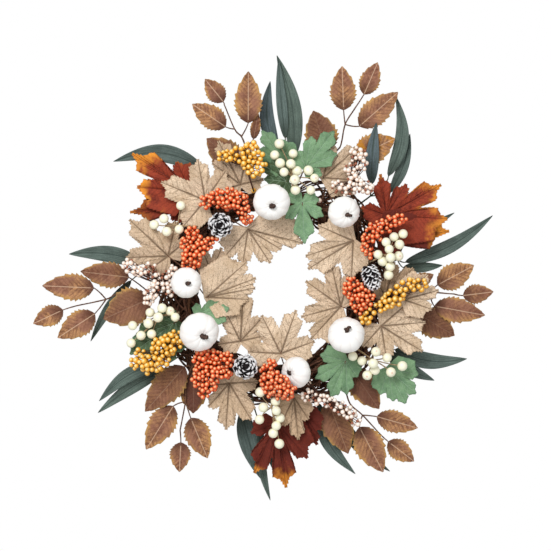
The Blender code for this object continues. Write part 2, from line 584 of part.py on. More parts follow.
def pumpkin(spec):
    """A ribbed foam pumpkin that faces forwards, with its stub of a stem."""
    radius = spec.radius
    height = PUMPKIN_HEIGHT * radius
    sides = 2 * PUMPKIN_RIBS
    profile = [(0, -0.86), (0.6, -0.9), (1.0, -0.2), (0.94, 0.42), (0.46, 0.96), (0, 0.7)]
    lean_right, lean_up = (math.radians(angle) for angle in spec.lean)
    axis = Vector((math.sin(lean_right), -1, math.sin(lean_up)))
    centre = place(*spec.place, spec.back - height)
    matrix = aim(centre, axis)
    body = turned([(r * radius, h * height) for r, h in profile], sides, matrix,
                  lambda k: 1.0 if k % 2 else 0.93)
    stem = tube([matrix @ Vector((0, 0, 0.4 * height)), matrix @ Vector((0, 0, height)),
                 matrix @ Vector((0.1 * radius, 0.05 * radius, 1.3 * height))], 0.13 * radius)
    wire = tube([place(*spec.wire, VINE_FRONT), place(*spec.wire, spec.back - 0.5 * height)],
                STEM_RADIUS, sides=4)
    return fuse([body, stem, wire])


def pinecone(spec):
    """A cone of overlapping scales, as rings that step in towards the tip, on its wire."""
    profile = [(0, -0.5), (0.62, -0.46), (0.98, -0.3), (0.72, -0.22), (1.0, -0.06), (0.66, 0.02),
               (0.86, 0.18), (0.5, 0.24), (0.6, 0.38), (0, 0.5)]
    matrix = aim(place(*spec.place, spec.depth), spec.tip)
    body = turned([(r * spec.radius, h * spec.length) for r, h in profile], 10, matrix,
                  lambda k: 1.0 if k % 2 else 0.88)
    wire = tube([place(*spec.wire, VINE_FRONT), place(*spec.wire, spec.depth)], STEM_RADIUS, sides=4)
    return fuse([body, wire])


def hanging_loop():
    """Bent steel wire: an eye round the strand, a shank and the loop that the hook carries."""
    eye = []
    loop = []
    for k in range(WIRE_STEPS):
        angle = 2 * math.pi * k / WIRE_STEPS
        eye.append(STRAND_CENTRE + EYE_RADIUS * Vector((0, math.cos(angle), math.sin(angle))))
        loop.append(HOOK_LOOP_CENTRE
                    + HOOK_LOOP_RADIUS * Vector((math.sin(angle), 0, math.cos(angle))))
    shank = [STRAND_CENTRE + Vector((0, 0, EYE_RADIUS)),
             HOOK_LOOP_CENTRE - Vector((0, 0, HOOK_LOOP_RADIUS))]
    return fuse([tube(eye, WIRE_RADIUS, sides=5, closed=True, turn=0.1),
                 tube(loop, WIRE_RADIUS, sides=5, closed=True, turn=0.1),
                 tube(shank, WIRE_RADIUS * 1.15, sides=5)])


def build():
    clear_scene()
    vine_bark = material("vine_bark", (0.07, 0.035, 0.02), 0.85)
    steel_wire = material("steel_wire", (0.35, 0.35, 0.36), 0.4, 1.0)
    willow_leaf = material("willow_leaf", (0.07, 0.11, 0.08), 0.75)
    beech_leaf = material("beech_leaf", (0.35, 0.18, 0.1), 0.7)
    rust_leaf = material("rust_leaf", (0.32, 0.06, 0.02), 0.7)
    tan_leaf = material("tan_leaf", (0.62, 0.45, 0.29), 0.85)
    oak_leaf = material("oak_leaf", (0.16, 0.33, 0.18), 0.75)
    pumpkin_foam = material("pumpkin_foam", (0.86, 0.8, 0.72), 0.8)
    pinecone_scale = material("pinecone_scale", (0.05, 0.035, 0.035), 0.8)
    orange_berry = material("orange_berry", (0.75, 0.14, 0.02), 0.35)
    yellow_berry = material("yellow_berry", (0.82, 0.46, 0.06), 0.35)
    cream_berry = material("cream_berry", (0.87, 0.84, 0.6), 0.45)
    pink_berry = material("pink_berry", (0.9, 0.74, 0.6), 0.45)

    wreath = bpy.data.objects.new("wreath_pivot", None)
    wreath.location = (STRAND_CENTRE - HANG_POINT) * MM
    bpy.context.scene.collection.objects.link(wreath)

    make_object("hanging_loop", hanging_loop(), steel_wire, None, smooth=True)
    for k, name in enumerate(("vine_strand_rear", "vine_strand_inner", "vine_strand_outer")):
        phase = math.pi / 2 + 2 * math.pi * k / 3
        path = wound_round(STRAND_TURNS, BUNDLE_RADIUS, phase, STRAND_STEPS)
        make_object(name, tube(path, STRAND_RADIUS, sides=6, closed=True), vine_bark, wreath, True)
    wrap_reach = BUNDLE_RADIUS + STRAND_RADIUS + WRAP_GAP + WRAP_RADIUS
    path = wound_round(WRAP_TURNS, wrap_reach, -math.pi / 2, WRAP_STEPS)
    make_object("vine_wrap", tube(path, WRAP_RADIUS, sides=3, closed=True), vine_bark, wreath, True)

    for picks, outline, shape, finish in ((WILLOW_PICKS, WILLOW, long_leaf, willow_leaf),
                                          (BEECH_PICKS, BEECH, long_leaf, beech_leaf),
                                          (RUST_PICKS, RUST_SINUS, maple_leaf, rust_leaf),
                                          (TAN_PICKS, TAN_SINUS, maple_leaf, tan_leaf),
                                          (OAK_PICKS, OAK_SINUS, maple_leaf, oak_leaf)):
        for name, pick in picks.items():
            make_object(name, leaf_pick(pick, outline, shape), finish, wreath)
    for masses, finish in ((ORANGE_BERRIES, orange_berry), (YELLOW_BERRIES, yellow_berry),
                           (PINK_BERRIES, pink_berry)):
        for name, mass in masses.items():
            make_object(name, berry_mass(mass), finish, wreath)
    for name, spray in CREAM_BERRIES.items():
        make_object(name, berry_spray(spray), cream_berry, wreath)
    for name, spec in PUMPKINS.items():
        make_object(name, pumpkin(spec), pumpkin_foam, wreath, smooth=True)
    for name, spec in PINECONES.items():
        make_object(name, pinecone(spec), pinecone_scale, wreath)


build()
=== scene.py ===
"""Looks of the harvest door wreath: every leaf, bead, pumpkin, cone and vine, built round the frame.

Lengths are millimetres from the centre of the vine ring, which the frame's hinge gives: X to the
right, Y into the door, Z up. Each pick is laid out as in the CAD and replaces its plain solid.
"""
import json
import random
from collections import namedtuple
from math import atan2, copysign, cos, dist, exp, pi, radians, sin, sqrt

import bpy
import numpy as np
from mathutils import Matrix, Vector
from mathutils.bvhtree import BVHTree
from mathutils.noise import noise


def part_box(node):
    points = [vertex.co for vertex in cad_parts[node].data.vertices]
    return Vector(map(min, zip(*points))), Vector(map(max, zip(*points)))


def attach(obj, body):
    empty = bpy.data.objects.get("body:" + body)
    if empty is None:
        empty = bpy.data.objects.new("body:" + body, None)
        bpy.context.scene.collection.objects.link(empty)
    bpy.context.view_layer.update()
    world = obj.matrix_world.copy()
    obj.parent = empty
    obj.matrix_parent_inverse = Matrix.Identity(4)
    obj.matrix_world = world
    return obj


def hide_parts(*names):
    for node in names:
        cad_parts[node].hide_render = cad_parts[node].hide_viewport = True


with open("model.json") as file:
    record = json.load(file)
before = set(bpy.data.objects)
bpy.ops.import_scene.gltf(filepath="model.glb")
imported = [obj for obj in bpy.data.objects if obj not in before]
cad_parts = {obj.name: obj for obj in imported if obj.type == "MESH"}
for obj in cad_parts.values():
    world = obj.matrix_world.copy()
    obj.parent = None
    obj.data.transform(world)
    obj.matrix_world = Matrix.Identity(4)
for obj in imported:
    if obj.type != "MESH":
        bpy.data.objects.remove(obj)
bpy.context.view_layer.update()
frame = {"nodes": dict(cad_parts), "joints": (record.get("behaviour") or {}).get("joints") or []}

MM = 0.001
RING_RADIUS = 118
BUNDLE_RADIUS = 9
HINGE = Vector(frame["joints"][0]["pos_m"])
RING_CENTRE = HINGE - Vector((0, BUNDLE_RADIUS, RING_RADIUS)) * MM
FRONT = Vector((0, -1, 0))
BACK = Vector((0, 1, 0))
UP = Vector((0, 0, 1))
VINE_FRONT = -22
BODY = "wreath"

# A leaf: the stem point that it grows from, where its base and tip are, its full width, the depths
# of its base and tip, its colouring from 0 to 1, and how far its middle swings to the side.
Leaf = namedtuple("Leaf", "fork x z tip_x tip_z width depth tip_depth tone bend", defaults=(0,))
# A lobed leaf: the same, with the tips of its lobes. Its tip depth is that of the longest.
Maple = namedtuple("Maple", "fork x z lobes depth tip_depth tone")
Pick = namedtuple("Pick", "stem leaves")


def picks(prefix, kind, table):
    """Every node's name, and its pick: the stem's points as (x, z, depth), and its leaves."""
    return {prefix + name: Pick(stem, [kind(*row) for row in rows])
            for name, (stem, rows) in table.items()}


WILLOW_PICKS = picks("willow_pick_", Leaf, {
    "top": ([(13, 141, -16), (17, 166, -14)], [(1, 26, 172, 4, 309, 24, -10, -12, 0.1, 9),
     (1, 15, 198, 6, 304, 14, -16, -18, 0.4, -1), (1, 4, 180, -5, 275, 20, -5, -6, 0.9, -9)]),
    "upper_right": ([(99, 101, -12), (128, 122, -12), (150, 142, -12)], [
     (2, 152, 148, 162, 255, 19, -12, -14, 0.2, 13), (1, 155, 127, 181, 205, 15, -7, -8, 0.3, 5),
     (1, 129, 137, 135, 218, 18, -27, -33, 0.9, -2)]),
    "right": ([(141, 26, -12), (164, 38, -12)], [(1, 174, 34, 290, 96, 19, -12, -18, 0.3, 9),
     (1, 172, 27, 224, 30, 14, -8, -8, 0.1, 1), (1, 176, 62, 240, 100, 11, -6, -6, 0.2)]),
    "lower_right": ([(124, -66, -12), (142, -78, -12)], [(1, 160, -82, 256, -94, 22, -12, -16, 0.3, 9),
     (1, 148, -84, 213, -123, 19, -7, -10, 0.2, 4)]),
    "bottom_right": ([(50, -126, -14), (54, -140, -12)], [(1, 59, -153, 108, -247, 20, -10, -13, 0.3, 12),
     (1, 84, -166, 154, -244, 17, -5, -8, 0.1, 8)]),
    "bottom": ([(-30, -139, -14), (-26, -160, -12)], [(1, -43, -164, -15, -256, 27, -9, -11, 0.4, 2),
     (1, -18, -186, -5, -282, 13, -15, -16, 0.2, 5), (1, -14, -196, 4, -251, 10, -5, -6, 0.2)]),
    "lower_left": ([(-114, -83, -12), (-140, -100, -12)], [(1, -152, -99, -232, -150, 19, -13, -16, 0.2, 8),
     (1, -148, -110, -234, -166, 18, -7, -9, 0.1, 4)]),
    "left": ([(-140, 22, -12), (-168, 26, -12)], [(1, -190, 10, -244, -71, 14, -7, -8, 0, 4),
     (1, -176, 34, -272, 45, 22, -12, -15, 0.3, 6)]),
    "upper_left": ([(-88, 112, -12), (-92, 140, -12)], [(1, -92, 158, -213, 168, 24, -12, -16, 0.4, 16),
     (1, -98, 142, -136, 178, 20, -7, -8, 0.9, 4)]),
})

BEECH_PICKS = picks("beech_spray_", Leaf, {
    "upper_left": ([(-30, 122, -24), (-35, 158, -26), (-38, 186, -27), (-43, 200, -27), (-52, 210, -27),
     (-66, 243, -28)], [(5, -67, 246, -91, 276, 27, -28, -30, 0.3),
     (4, -64, 213, -108, 243, 33, -27, -29, 0.2), (3, -34, 218, -34, 286, 38, -29, -31, 0.2),
     (2, -27, 197, -21, 232, 14, -26, -26, 0.6), (1, -45, 161, -89, 198, 42, -25, -25, 0.7)]),
    "upper_right": ([(62, 108, -24), (78, 172, -26), (88, 188, -27), (94, 216, -27), (106, 236, -28)], [
     (3, 92, 235, 90, 293, 36, -28, -30, 0.3), (4, 119, 256, 137, 298, 28, -28, -30, 0.2),
     (3, 113, 214, 164, 259, 37, -25, -26, 0.2), (1, 70, 178, 52, 234, 46, -29, -31, 0.7),
     (1, 108, 173, 160, 198, 42, -24, -24, -1)]),
    "right": ([(122, -8, -24), (175, -9, -26), (206, -6, -27), (238, -8, -27)], [
     (2, 216, 4, 264, 30, 36, -29, -31, 0.2), (3, 250, -10, 290, -5, 27, -27, -28, 0.3),
     (2, 212, -24, 279, -36, 35, -26, -27, 0.25), (1, 190, -34, 239, -63, 42, -23, -23, 0.7),
     (1, 181, 3, 211, 18, 22, -24, -24, 0.6)]),
    "lower_right": ([(80, -94, -24), (92, -124, -26), (100, -152, -27), (117, -168, -28),
     (140, -193, -28)], [(3, 113, -184, 144, -243, 42, -29, -31, 0.35),
     (3, 136, -170, 190, -185, 31, -28, -29, 0.25), (4, 151, -203, 185, -229, 29, -28, -29, 0.25),
     (0, 103, -108, 139, -160, 42, -24, -25, 0.8), (1, 72, -150, 98, -219, 47, -25, -27, 0.6)]),
    "lower_left": ([(-86, -84, -24), (-108, -104, -26), (-116, -130, -27), (-117, -150, -27),
     (-124, -188, -28)], [(3, -133, -156, -169, -213, 38, -29, -31, 0.3),
     (4, -123, -204, -125, -243, 29, -28, -29, 0.3), (3, -110, -172, -88, -225, 36, -26, -27, 0.25),
     (1, -118, -104, -170, -163, 44, -30, -32, 0.6), (1, -106, -112, -107, -166, 42, -23, -23, 1)]),
    "left": ([(-120, -8, -24), (-164, -7, -26), (-206, -8, -27), (-222, -15, -27), (-263, -24, -28)], [
     (3, -238, 0, -306, 3, 37, -29, -31, 0.2), (4, -279, -29, -318, -47, 29, -28, -29, 0.25),
     (3, -237, -34, -286, -66, 36, -26, -27, 0.25), (1, -192, 14, -256, 22, 36, -24, -25, 0.5),
     (1, -164, -14, -225, -41, 54, -30, -32, 0.6)]),
})

RUST_PICKS = picks("rust_maple_", Maple, {
    "left": ([(-92, 92, -30), (-98, 108, -36)], [
     (1, -110, 127, [(-180, 133), (-187, 177), (-128, 166)], -36, -38, 1),
     (1, -116, 108, [(-135, 90), (-190, 100), (-137, 120)], -33, -34, 0.6)]),
    "right": ([(116, 70, -30), (138, 74, -36)], [
     (1, 148, 96, [(228, 91), (220, 136), (174, 137), (140, 150), (115, 107)], -37, -40, 0.8),
     (1, 142, 62, [(168, 38), (231, 75), (206, 91)], -34, -35, 0.2)]),
    "bottom": ([(6, -122, -30), (8, -158, -35)], [
     (1, 4, -178, [(-30, -191), (-26, -244), (16, -263), (44, -224)], -35, -37, 0.2),
     (1, 36, -162, [(62, -186), (57, -207), (42, -200)], -32, -33, 0)]),
})

TAN_PICKS = picks("tan_maple_", Maple, {
    "upper_left": ([(-84, 84, -40), (-78, 104, -45)], [
     (1, -90, 115, [(-119, 81), (-148, 139), (-100, 169), (-63, 154)], -47, -49, 0.2),
     (1, -44, 136, [(-69, 127), (-81, 164), (-73, 193), (-34, 185), (-14, 143)], -43, -44, 0.5),
     (1, -34, 77, [(-65, 41), (-41, 32), (-5, 33), (9, 51), (38, 59)], -45, -43, 0.3)]),
    "left": ([(-112, 16, -38), (-110, 20, -46)], [
     (1, -139, 42, [(-166, 22), (-194, 40), (-190, 90), (-129, 87), (-115, 62)], -43, -44, 0.5),
     (1, -88, -12, [(-34, -15), (-25, 0), (-24, 13), (-36, 34)], -50, -49, 0.3),
     (1, -82, 20, [(-41, 30), (-69, 53), (-94, 49)], -43, -41, 0.5)]),
    "lower_left": ([(-82, -78, -40), (-68, -92, -46)], [
     (1, -44, -70, [(-73, -74), (-63, -32), (-40, -1), (-16, -40), (-13, -63)], -45, -43, 0.4),
     (1, -59, -125, [(-21, -123), (-30, -173), (-63, -186), (-86, -156), (-83, -128)], -44, -46, 0.6)]),
    "bottom": ([(20, -118, -40), (18, -112, -46)], [
     (1, 9, -86, [(-34, -84), (-16, -36), (29, -29), (53, -70)], -51, -48, 0.2),
     (1, 26, -143, [(9, -180), (32, -199), (45, -172)], -46, -44, 1)]),
    "right": ([(122, -30, -40), (126, -32, -46)], [
     (1, 88, -24, [(49, -67), (36, -38), (42, 9), (75, 33), (100, 17)], -46, -43, 0.4),
     (1, 170, -15, [(207, -28), (216, -3), (201, 18)], -49, -51, 0.3),
     (1, 147, -13, [(183, 26), (158, 34), (136, 9)], -42, -42, 1),
     (1, 141, -50, [(117, -77), (148, -94), (195, -83), (199, -45), (177, -18)], -45, -46, 0.2)]),
    "upper_right": ([(96, 84, -40), (92, 82, -46)], [
     (1, 104, 62, [(102, 13), (45, 25), (42, 42), (58, 82)], -48, -45, 0.2),
     (1, 65, 145, [(115, 141), (111, 186), (75, 190)], -43, -44, 0.4)]),
})

OAK_PICKS = picks("oak_pick_", Maple, {
    "top": ([(30, 112, -50), (30, 134, -46)], [
     (1, 41, 158, [(63, 148), (83, 176), (79, 206), (49, 199), (33, 180)], -52, -53, 0.2),
     (0, 37, 112, [(16, 121), (15, 91), (40, 58), (65, 94), (59, 116)], -56, -58, 0.1),
     (1, 18, 162, [(12, 195), (-16, 207), (-21, 182), (-5, 153)], -40, -42, 0.3),
     (1, 16, 140, [(-3, 169), (-17, 165), (-13, 143), (9, 120)], -45, -45, 1)]),
    "lower_right": ([(122, -80, -33), (126, -92, -38)], [
     (1, 95, -96, [(61, -88), (54, -119), (75, -143), (96, -140), (110, -117)], -38, -41, 0.2),
     (1, 150, -107, [(140, -140), (157, -149), (173, -152), (187, -139), (190, -114)], -38, -40, 0.2)]),
    "lower_left": ([(-104, -52, -38), (-112, -50, -46)], [
     (1, -129, -45, [(-153, -32), (-186, -66), (-189, -87), (-137, -98), (-123, -84)], -46, -49, 0.8),
     (1, -98, -34, [(-59, -26), (-71, -18), (-102, -20)], -52, -54, 0)]),
})

# Cream berries: the stem's points and each berry as (x, z, depth).
CREAM_BERRIES = {
    "top": ([(24, 128, -22), (24, 129, -60), (24, 146, -62)], [(7, 189, -58), (1, 174, -62), (8, 163, -70),
     (25, 176, -60), (22, 162, -72), (13, 151, -80), (27, 141, -78), (30, 153, -66), (45, 154, -60),
     (53, 144, -58), (28, 128, -70), (48, 128, -62)]),
    "right": ([(126, 34, -22), (127, 35, -54), (148, 44, -58)], [(146, 60, -75), (157, 67, -60),
     (169, 71, -58), (164, 57, -64), (150, 51, -74), (136, 44, -64), (142, 35, -60), (152, 40, -72),
     (163, 42, -60), (152, 28, -62), (150, 17, -58)]),
    "lower_right": ([(105, -77, -22), (106, -78, -54), (130, -94, -57)], [(103, -89, -66), (115, -95, -64),
     (129, -98, -76), (132, -107, -66), (122, -114, -60), (148, -91, -60), (153, -110, -58),
     (168, -102, -58), (133, -83, -68)]),
    "bottom": ([(-4, -128, -22), (-4, -129, -52), (-3, -156, -56)], [(2, -148, -62), (3, -160, -66),
     (8, -170, -58), (3, -180, -60), (-1, -190, -56), (7, -204, -54), (-14, -156, -60), (-19, -172, -58),
     (-18, -136, -62)]),
    "left": ([(-126, -32, -22), (-127, -33, -54), (-150, -36, -57)], [(-162, -32, -60), (-151, -38, -72),
     (-164, -46, -64), (-136, -30, -62), (-129, -38, -64), (-146, -26, -69), (-185, -49, -58),
     (-160, -60, -60), (-174, -62, -58), (-187, -72, -58)]),
    "upper_left": ([(-101, 81, -22), (-102, 81, -54), (-126, 82, -56)], [(-140, 74, -60), (-124, 77, -62),
     (-144, 91, -58), (-157, 83, -56), (-122, 108, -58)])}

# Masses of small beads: the end of each one's stem, where the bead wires fan out.
BEAD_FORKS = {
    "orange": {"upper_left": (-60, 114, -60), "left": (-100, 57, -60), "lower_left": (-84, -100, -60),
        "bottom": (-3, -120, -64), "right": (112, -8, -62), "upper_right": (131, 63, -60)},
    "yellow": {"top": (-37, 160, -60), "lower_left": (-138, -80, -58), "right": (150, -12, -60)},
    "pink": {"upper_right": (104, 139, -60), "left": (-145, 4, -60), "bottom_right": (62, -143, -59)}}

# How each pumpkin's stem leans, in degrees to the right and upwards, and each cone's tip direction.
PUMPKIN_LEANS = {
    "pumpkin_top": (0, -22), "pumpkin_upper_right": (20, -20), "pumpkin_lower_right": (0, 25),
    "pumpkin_bottom": (-52, -4), "pumpkin_lower_left": (18, -20), "pumpkin_left": (8, -6)}
CONE_TIPS = {
    "pinecone_upper_left": (0, -1, 0), "pinecone_right": (0.3, -0.2, -0.93),
    "pinecone_lower_left": (0.1, -1, 0.1)}

# How a lobed leaf is cut: its sinuses' depth as a part of the lobes' reach, the bulge and side points
# of their edges as parts of the edge, and the teeth in millimetres.
Cut = namedtuple("Cut", "sinus bulge point pitch tooth")
TAN_CUT = Cut(0.61, 0.04, 0.18, 4.4, 1.8)
RUST_CUT = Cut(0.38, 0.06, 0.15, 5.0, 1.8)
GREEN_CUT = Cut(0.44, 0.13, 0.14, 7.0, 1.0)
# The angle between two lobes at which their sinus has its whole depth, and how the leaf closes
# towards its stalk: the angle and reach of its two last points, and the notch between them.
WIDE_SINUS = radians(42)
STALK_SIDE = radians(64)
STALK_REACH = 0.55
STALK_NOTCH = 4
# The points across a long leaf, and the rings of points of a lobed one, as parts of its reach.
LEAF_COLUMNS = 9
LEAF_RINGS = (0.08, 0.18, 0.28, 0.38, 0.48, 0.58, 0.68, 0.78, 0.87, 0.95, 1.0)

# The way that a small bead's painted highlight faces, up and left towards the key lamp, the places
# tried for a mass's beads, and how far back they may lie.
PAINTED_HIGHLIGHT_SIDE = Vector((-0.35, 0, 0.45))
BEAD_TRIES = 5000
BEADS_BACK = VINE_FRONT - 24
BERRY_RADIUS = 6.4
# Cream berries that turn their rough pink ends to the front, as (x, z).
BLOSSOM_ENDS = ((27, 141), (53, 144), (163, 42), (-136, -30), (133, -83), (153, -110), (122, -114))

# Pumpkins: the ribs, the rows of points from crown to base, and the way of the stem, in radii and
# half heights.
PUMPKIN_RIBS = 10
PUMPKIN_ROWS = 26
PUMPKIN_STEM = ((0, 0, 0.35), (0, 0, 0.75), (0.04, 0.03, 1.02), (0.16, 0.1, 1.24))
CONE_SCALES = 54
GOLDEN_ANGLE = radians(137.5)

# The ring: its strands and their vines, the twigs wound over it, and the stray ones that leave it
# and come back. A tube's first side and the pitch of its lumps are arbitrary.
STRANDS = ("vine_strand_rear", "vine_strand_inner", "vine_strand_outer")
STRAND_VINES = 5
STRAND_TWISTS = 5
WRAP_TWIGS = 4
STRAY_TWIGS = 520
FIRST_SIDE = Vector((0.3, 1, 0.2))
LUMP_PITCH = 0.35
WIRE = 1.3
# The hanging loop: the eye round the strand, the twisted shank and the loop.
EYE_RADIUS = 7.8
SHANK = 10
LOOP_RADIUS = 8

# In metres.
FLOOR_Z = -1.5
VIEW_WIDTH = 0.7345
CAMERA_DISTANCE = 3.2


def srgb(red, green, blue):
    """A colour given as 0 to 255 per channel, as the linear numbers that shaders take."""
    values = [v / 255 for v in (red, green, blue)]
    return tuple(v / 12.92 if v < 0.04045 else ((v + 0.055) / 1.055) ** 2.4 for v in values)


def place(x, z, depth):
    return Vector((x, depth, z))


def around(angle, out, depth):
    """A point on a circle round the ring's middle, from its right side by way of its top."""
    return place(out * cos(angle), out * sin(angle), depth)


def swirl(angle, third):
    """A point on a unit circle, moved along the circle's axis."""
    return Vector((cos(angle), sin(angle), third))


def full_turn(count):
    """The angles of a full turn in equal steps."""
    return [2 * pi * k / count for k in range(count)]


def corners(node):
    """A CAD node's lowest and highest corners."""
    return [[(c - r) / MM for c, r in zip(corner, RING_CENTRE)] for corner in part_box(node)]


def add_object(name, data, location=(0, 0, 0)):
    made = bpy.data.objects.new(name, data)
    made.location = location
    bpy.context.scene.collection.objects.link(made)
    return made


class Shape:
    """Points, faces and per-point marks of many small pieces, for one mesh."""

    def __init__(self):
        self.points, self.faces, self.marks, self.count = [], [], [], 0

    def add(self, points, faces, along=0.0, vein=9.0, edge=0.0, tone=0.5):
        """Adds one piece. Marks are a number for the whole piece or one for each point."""
        size = len(points)
        self.points.append(np.asarray(points, float).reshape(size, 3))
        self.faces += [tuple(i + self.count for i in face) for face in faces]
        rows = [np.broadcast_to(np.asarray(mark, float), size) for mark in (along, vein, edge, tone)]
        self.marks.append(np.stack(rows, axis=1))
        self.count += size

    def make(self, node, part, material, slot, thickness=0, body=BODY):
        """The finished piece, riding on its body in place of its CAD node."""
        name = node + "_" + part
        mesh = bpy.data.meshes.new(name)
        points = np.concatenate(self.points) * MM + np.array(RING_CENTRE)
        mesh.from_pydata(points.tolist(), [], self.faces)
        marks = np.concatenate(self.marks)
        for i, mark in enumerate(("along", "vein", "edge", "tone")):
            layer = mesh.attributes.new(mark, "FLOAT", "POINT")
            layer.data.foreach_set("value", np.ascontiguousarray(marks[:, i]))
        mesh.materials.append(material)
        mesh.shade_smooth()
        made = add_object(name, mesh)
        if thickness:
            solid = made.modifiers.new("thickness", "SOLIDIFY")
            solid.thickness = thickness * MM
            solid.offset = 0
        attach(made, body)
        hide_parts(node)
        return made


def grid_faces(rows, columns, close=False):
    """Quads of a grid of points, row by row, whose rows may close into rings."""
    faces = []
    for row in range(0, (rows - 1) * columns, columns):
        for near in range(row, row + (columns if close else columns - 1)):
            far = row + (near - row + 1) % columns
            faces.append((near, far, far + columns, near + columns))
    return faces


def capped_faces(rings, columns):
    """Faces of rings of points round a first point that closes the first ring."""
    faces = [(0, 1 + (k + 1) % columns, 1 + k) for k in range(columns)]
    return faces + [tuple(1 + i for i in quad) for quad in grid_faces(rings, columns, close=True)]


def smooth_path(points, steps=6):
    """A curve through the points, with steps between each two."""
    ends = [points[0] * 2 - points[1]] + list(points) + [points[-1] * 2 - points[-2]]
    path = []
    for a, b, c, d in zip(ends, ends[1:], ends[2:], ends[3:]):
        for i in range(steps):
            t = i / steps
            path.append(0.5 * (2 * b + (c - a) * t + (2 * a - 5 * b + 4 * c - d) * t * t
                               + (3 * b - a - 3 * c + d) * t ** 3))
    path.append(points[-1])
    return path


def add_tube(shape, path, radii, sides=6, closed=False, lumps=0.0, tone=0.5):
    """A round bar along a path, tapering from its first radius to its last, perhaps lumpy."""
    count = len(path)
    side = None
    points = []
    for i, point in enumerate(path):
        before = path[i - 1] if closed or i else point
        after = path[(i + 1) % count] if closed or i < count - 1 else point
        ahead = (after - before).normalized()
        if side is None:
            side = ahead.cross(FIRST_SIDE)
        side = (side - ahead * side.dot(ahead)).normalized()
        up = ahead.cross(side)
        radius = radii[0] + (radii[1] - radii[0]) * i / (count - 1)
        for angle in full_turn(sides):
            spot = point + radius * (cos(angle) * side + sin(angle) * up)
            if lumps:
                spot += (spot - point) * lumps * noise(spot * LUMP_PITCH)
            points.append(spot)
    faces = grid_faces(count, sides, close=True)
    last = (count - 1) * sides
    if closed:
        faces += [(last + k, last + (k + 1) % sides, (k + 1) % sides, k) for k in range(sides)]
    else:
        faces += [tuple(range(sides))[::-1], tuple(range(last, count * sides))]
    shape.add(points, faces, tone=tone)


def leaf_tip(leaf):
    """The tip of a leaf, or of the longest lobe of a lobed one."""
    if isinstance(leaf, Leaf):
        return leaf.tip_x, leaf.tip_z
    return max(leaf.lobes, key=lambda tip: dist(tip, (leaf.x, leaf.z)))


def willow_half(share):
    return 0.5 * sin(pi * share ** 0.74) ** 0.78


def beech_half(share):
    """Half the width of a beech leaf, with not quite regular teeth that point forwards."""
    teeth = 10 + 1.4 * sin(5 * share)
    saw = (share * teeth) % 1.0
    return 0.5 * sin(pi * share ** 0.76) ** 0.82 * (0.89 + 0.17 * saw ** 1.6)


def add_long_leaf(shape, leaf, dice, half, fold, droop, ripple, rows):
    """A leaf folded along its midrib, drooping at the tip and rippled by its side veins."""
    base = place(leaf.x, leaf.z, leaf.depth)
    tip = place(leaf.tip_x, leaf.tip_z, leaf.tip_depth)
    along = (tip - base).normalized()
    across = along.cross(FRONT).normalized()
    face = across.cross(along)
    length = (tip - base).length
    twist = dice.uniform(-0.35, 0.35)
    points, marks = [], []
    for i in range(rows):
        share = i / (rows - 1)
        middle = base + along * length * share + across * leaf.bend * sin(pi * share)
        middle -= face * droop * length * (share ** 2 - share * 0.4)
        width = max(half(share), 0.012) * leaf.width
        roll = twist * (share - 0.3)
        for k in range(LEAF_COLUMNS):
            v = 2 * k / (LEAF_COLUMNS - 1) - 1
            reach = v * width
            rise = fold * abs(reach) + ripple * sin(0.9 * (share * length - 0.8 * abs(reach)))
            rise += 1.4 * noise(Vector((share * 3, v * 0.8, leaf.x * 0.37)))
            points.append(middle + across * (reach * cos(roll))
                          + face * (reach * sin(roll) + rise))
            marks.append((share * length, abs(reach), abs(v) * 0.9 + 0.1 * share ** 6))
    shape.add(points, grid_faces(rows, LEAF_COLUMNS), *np.array(marks).T, leaf.tone)


def lobe_edge(tip, dip, cut):
    """One edge of a lobe, from its tip down to a sinus, with a side point and teeth."""
    run = dip - tip
    side = Vector((-tip.y, tip.x)).normalized()
    outward = tip.normalized() + (side if side.dot(dip) > 0 else -side)
    normal = Vector((-run.y, run.x)).normalized()
    if normal.dot(outward) < 0:
        normal = -normal
    teeth = max(2, round(run.length / cut.pitch))
    spots = []
    for k in range(teeth):
        for part, out in ((0.06, 1.0), (0.5, 0.45), (0.96, 0.0)):
            share = (k + part) / teeth
            point = max(0, min((share - 0.26) / 0.14, (0.86 - share) / 0.46))
            swell = cut.bulge * sin(pi * share) + cut.point * point
            spots.append(tip + run * share + normal * (swell * run.length + cut.tooth * out))
    return spots


def turned(arm, angle):
    return Vector((arm.x * cos(angle) - arm.y * sin(angle),
                   arm.x * sin(angle) + arm.y * cos(angle)))


def lobed_outline(leaf, cut):
    """Points round a lobed leaf from one side of its stalk to the other, and its lobes' tips, all
    from its base."""
    arms = [Vector((x - leaf.x, z - leaf.z)) for x, z in leaf.lobes]
    longest = max(arms, key=lambda arm: arm.length)
    middle = atan2(longest.y, longest.x)
    arms.sort(key=lambda arm: (atan2(arm.y, arm.x) - middle + pi) % (2 * pi))
    first = turned(arms[0], -STALK_SIDE) * STALK_REACH
    last = turned(arms[-1], STALK_SIDE) * STALK_REACH
    outline = lobe_edge(arms[0], first, cut)[::-1]
    for near, far in zip(arms, arms[1:]):
        dip = (near.normalized() + far.normalized()).normalized()
        depth = (1 - cut.sinus) * min(near.angle(far) / WIDE_SINUS, 1.15)
        dip *= min((1 - depth) * sqrt(near.length * far.length),
                   0.92 * min(near.length, far.length))
        outline += [near] + lobe_edge(near, dip, cut) + [dip] + lobe_edge(far, dip, cut)[::-1]
    outline += [arms[-1]] + lobe_edge(arms[-1], last, cut)
    behind = (atan2(first.y, first.x) - atan2(last.y, last.x)) % (2 * pi) / 2
    outline.append(turned(last.normalized(), behind) * STALK_NOTCH)
    return outline, arms


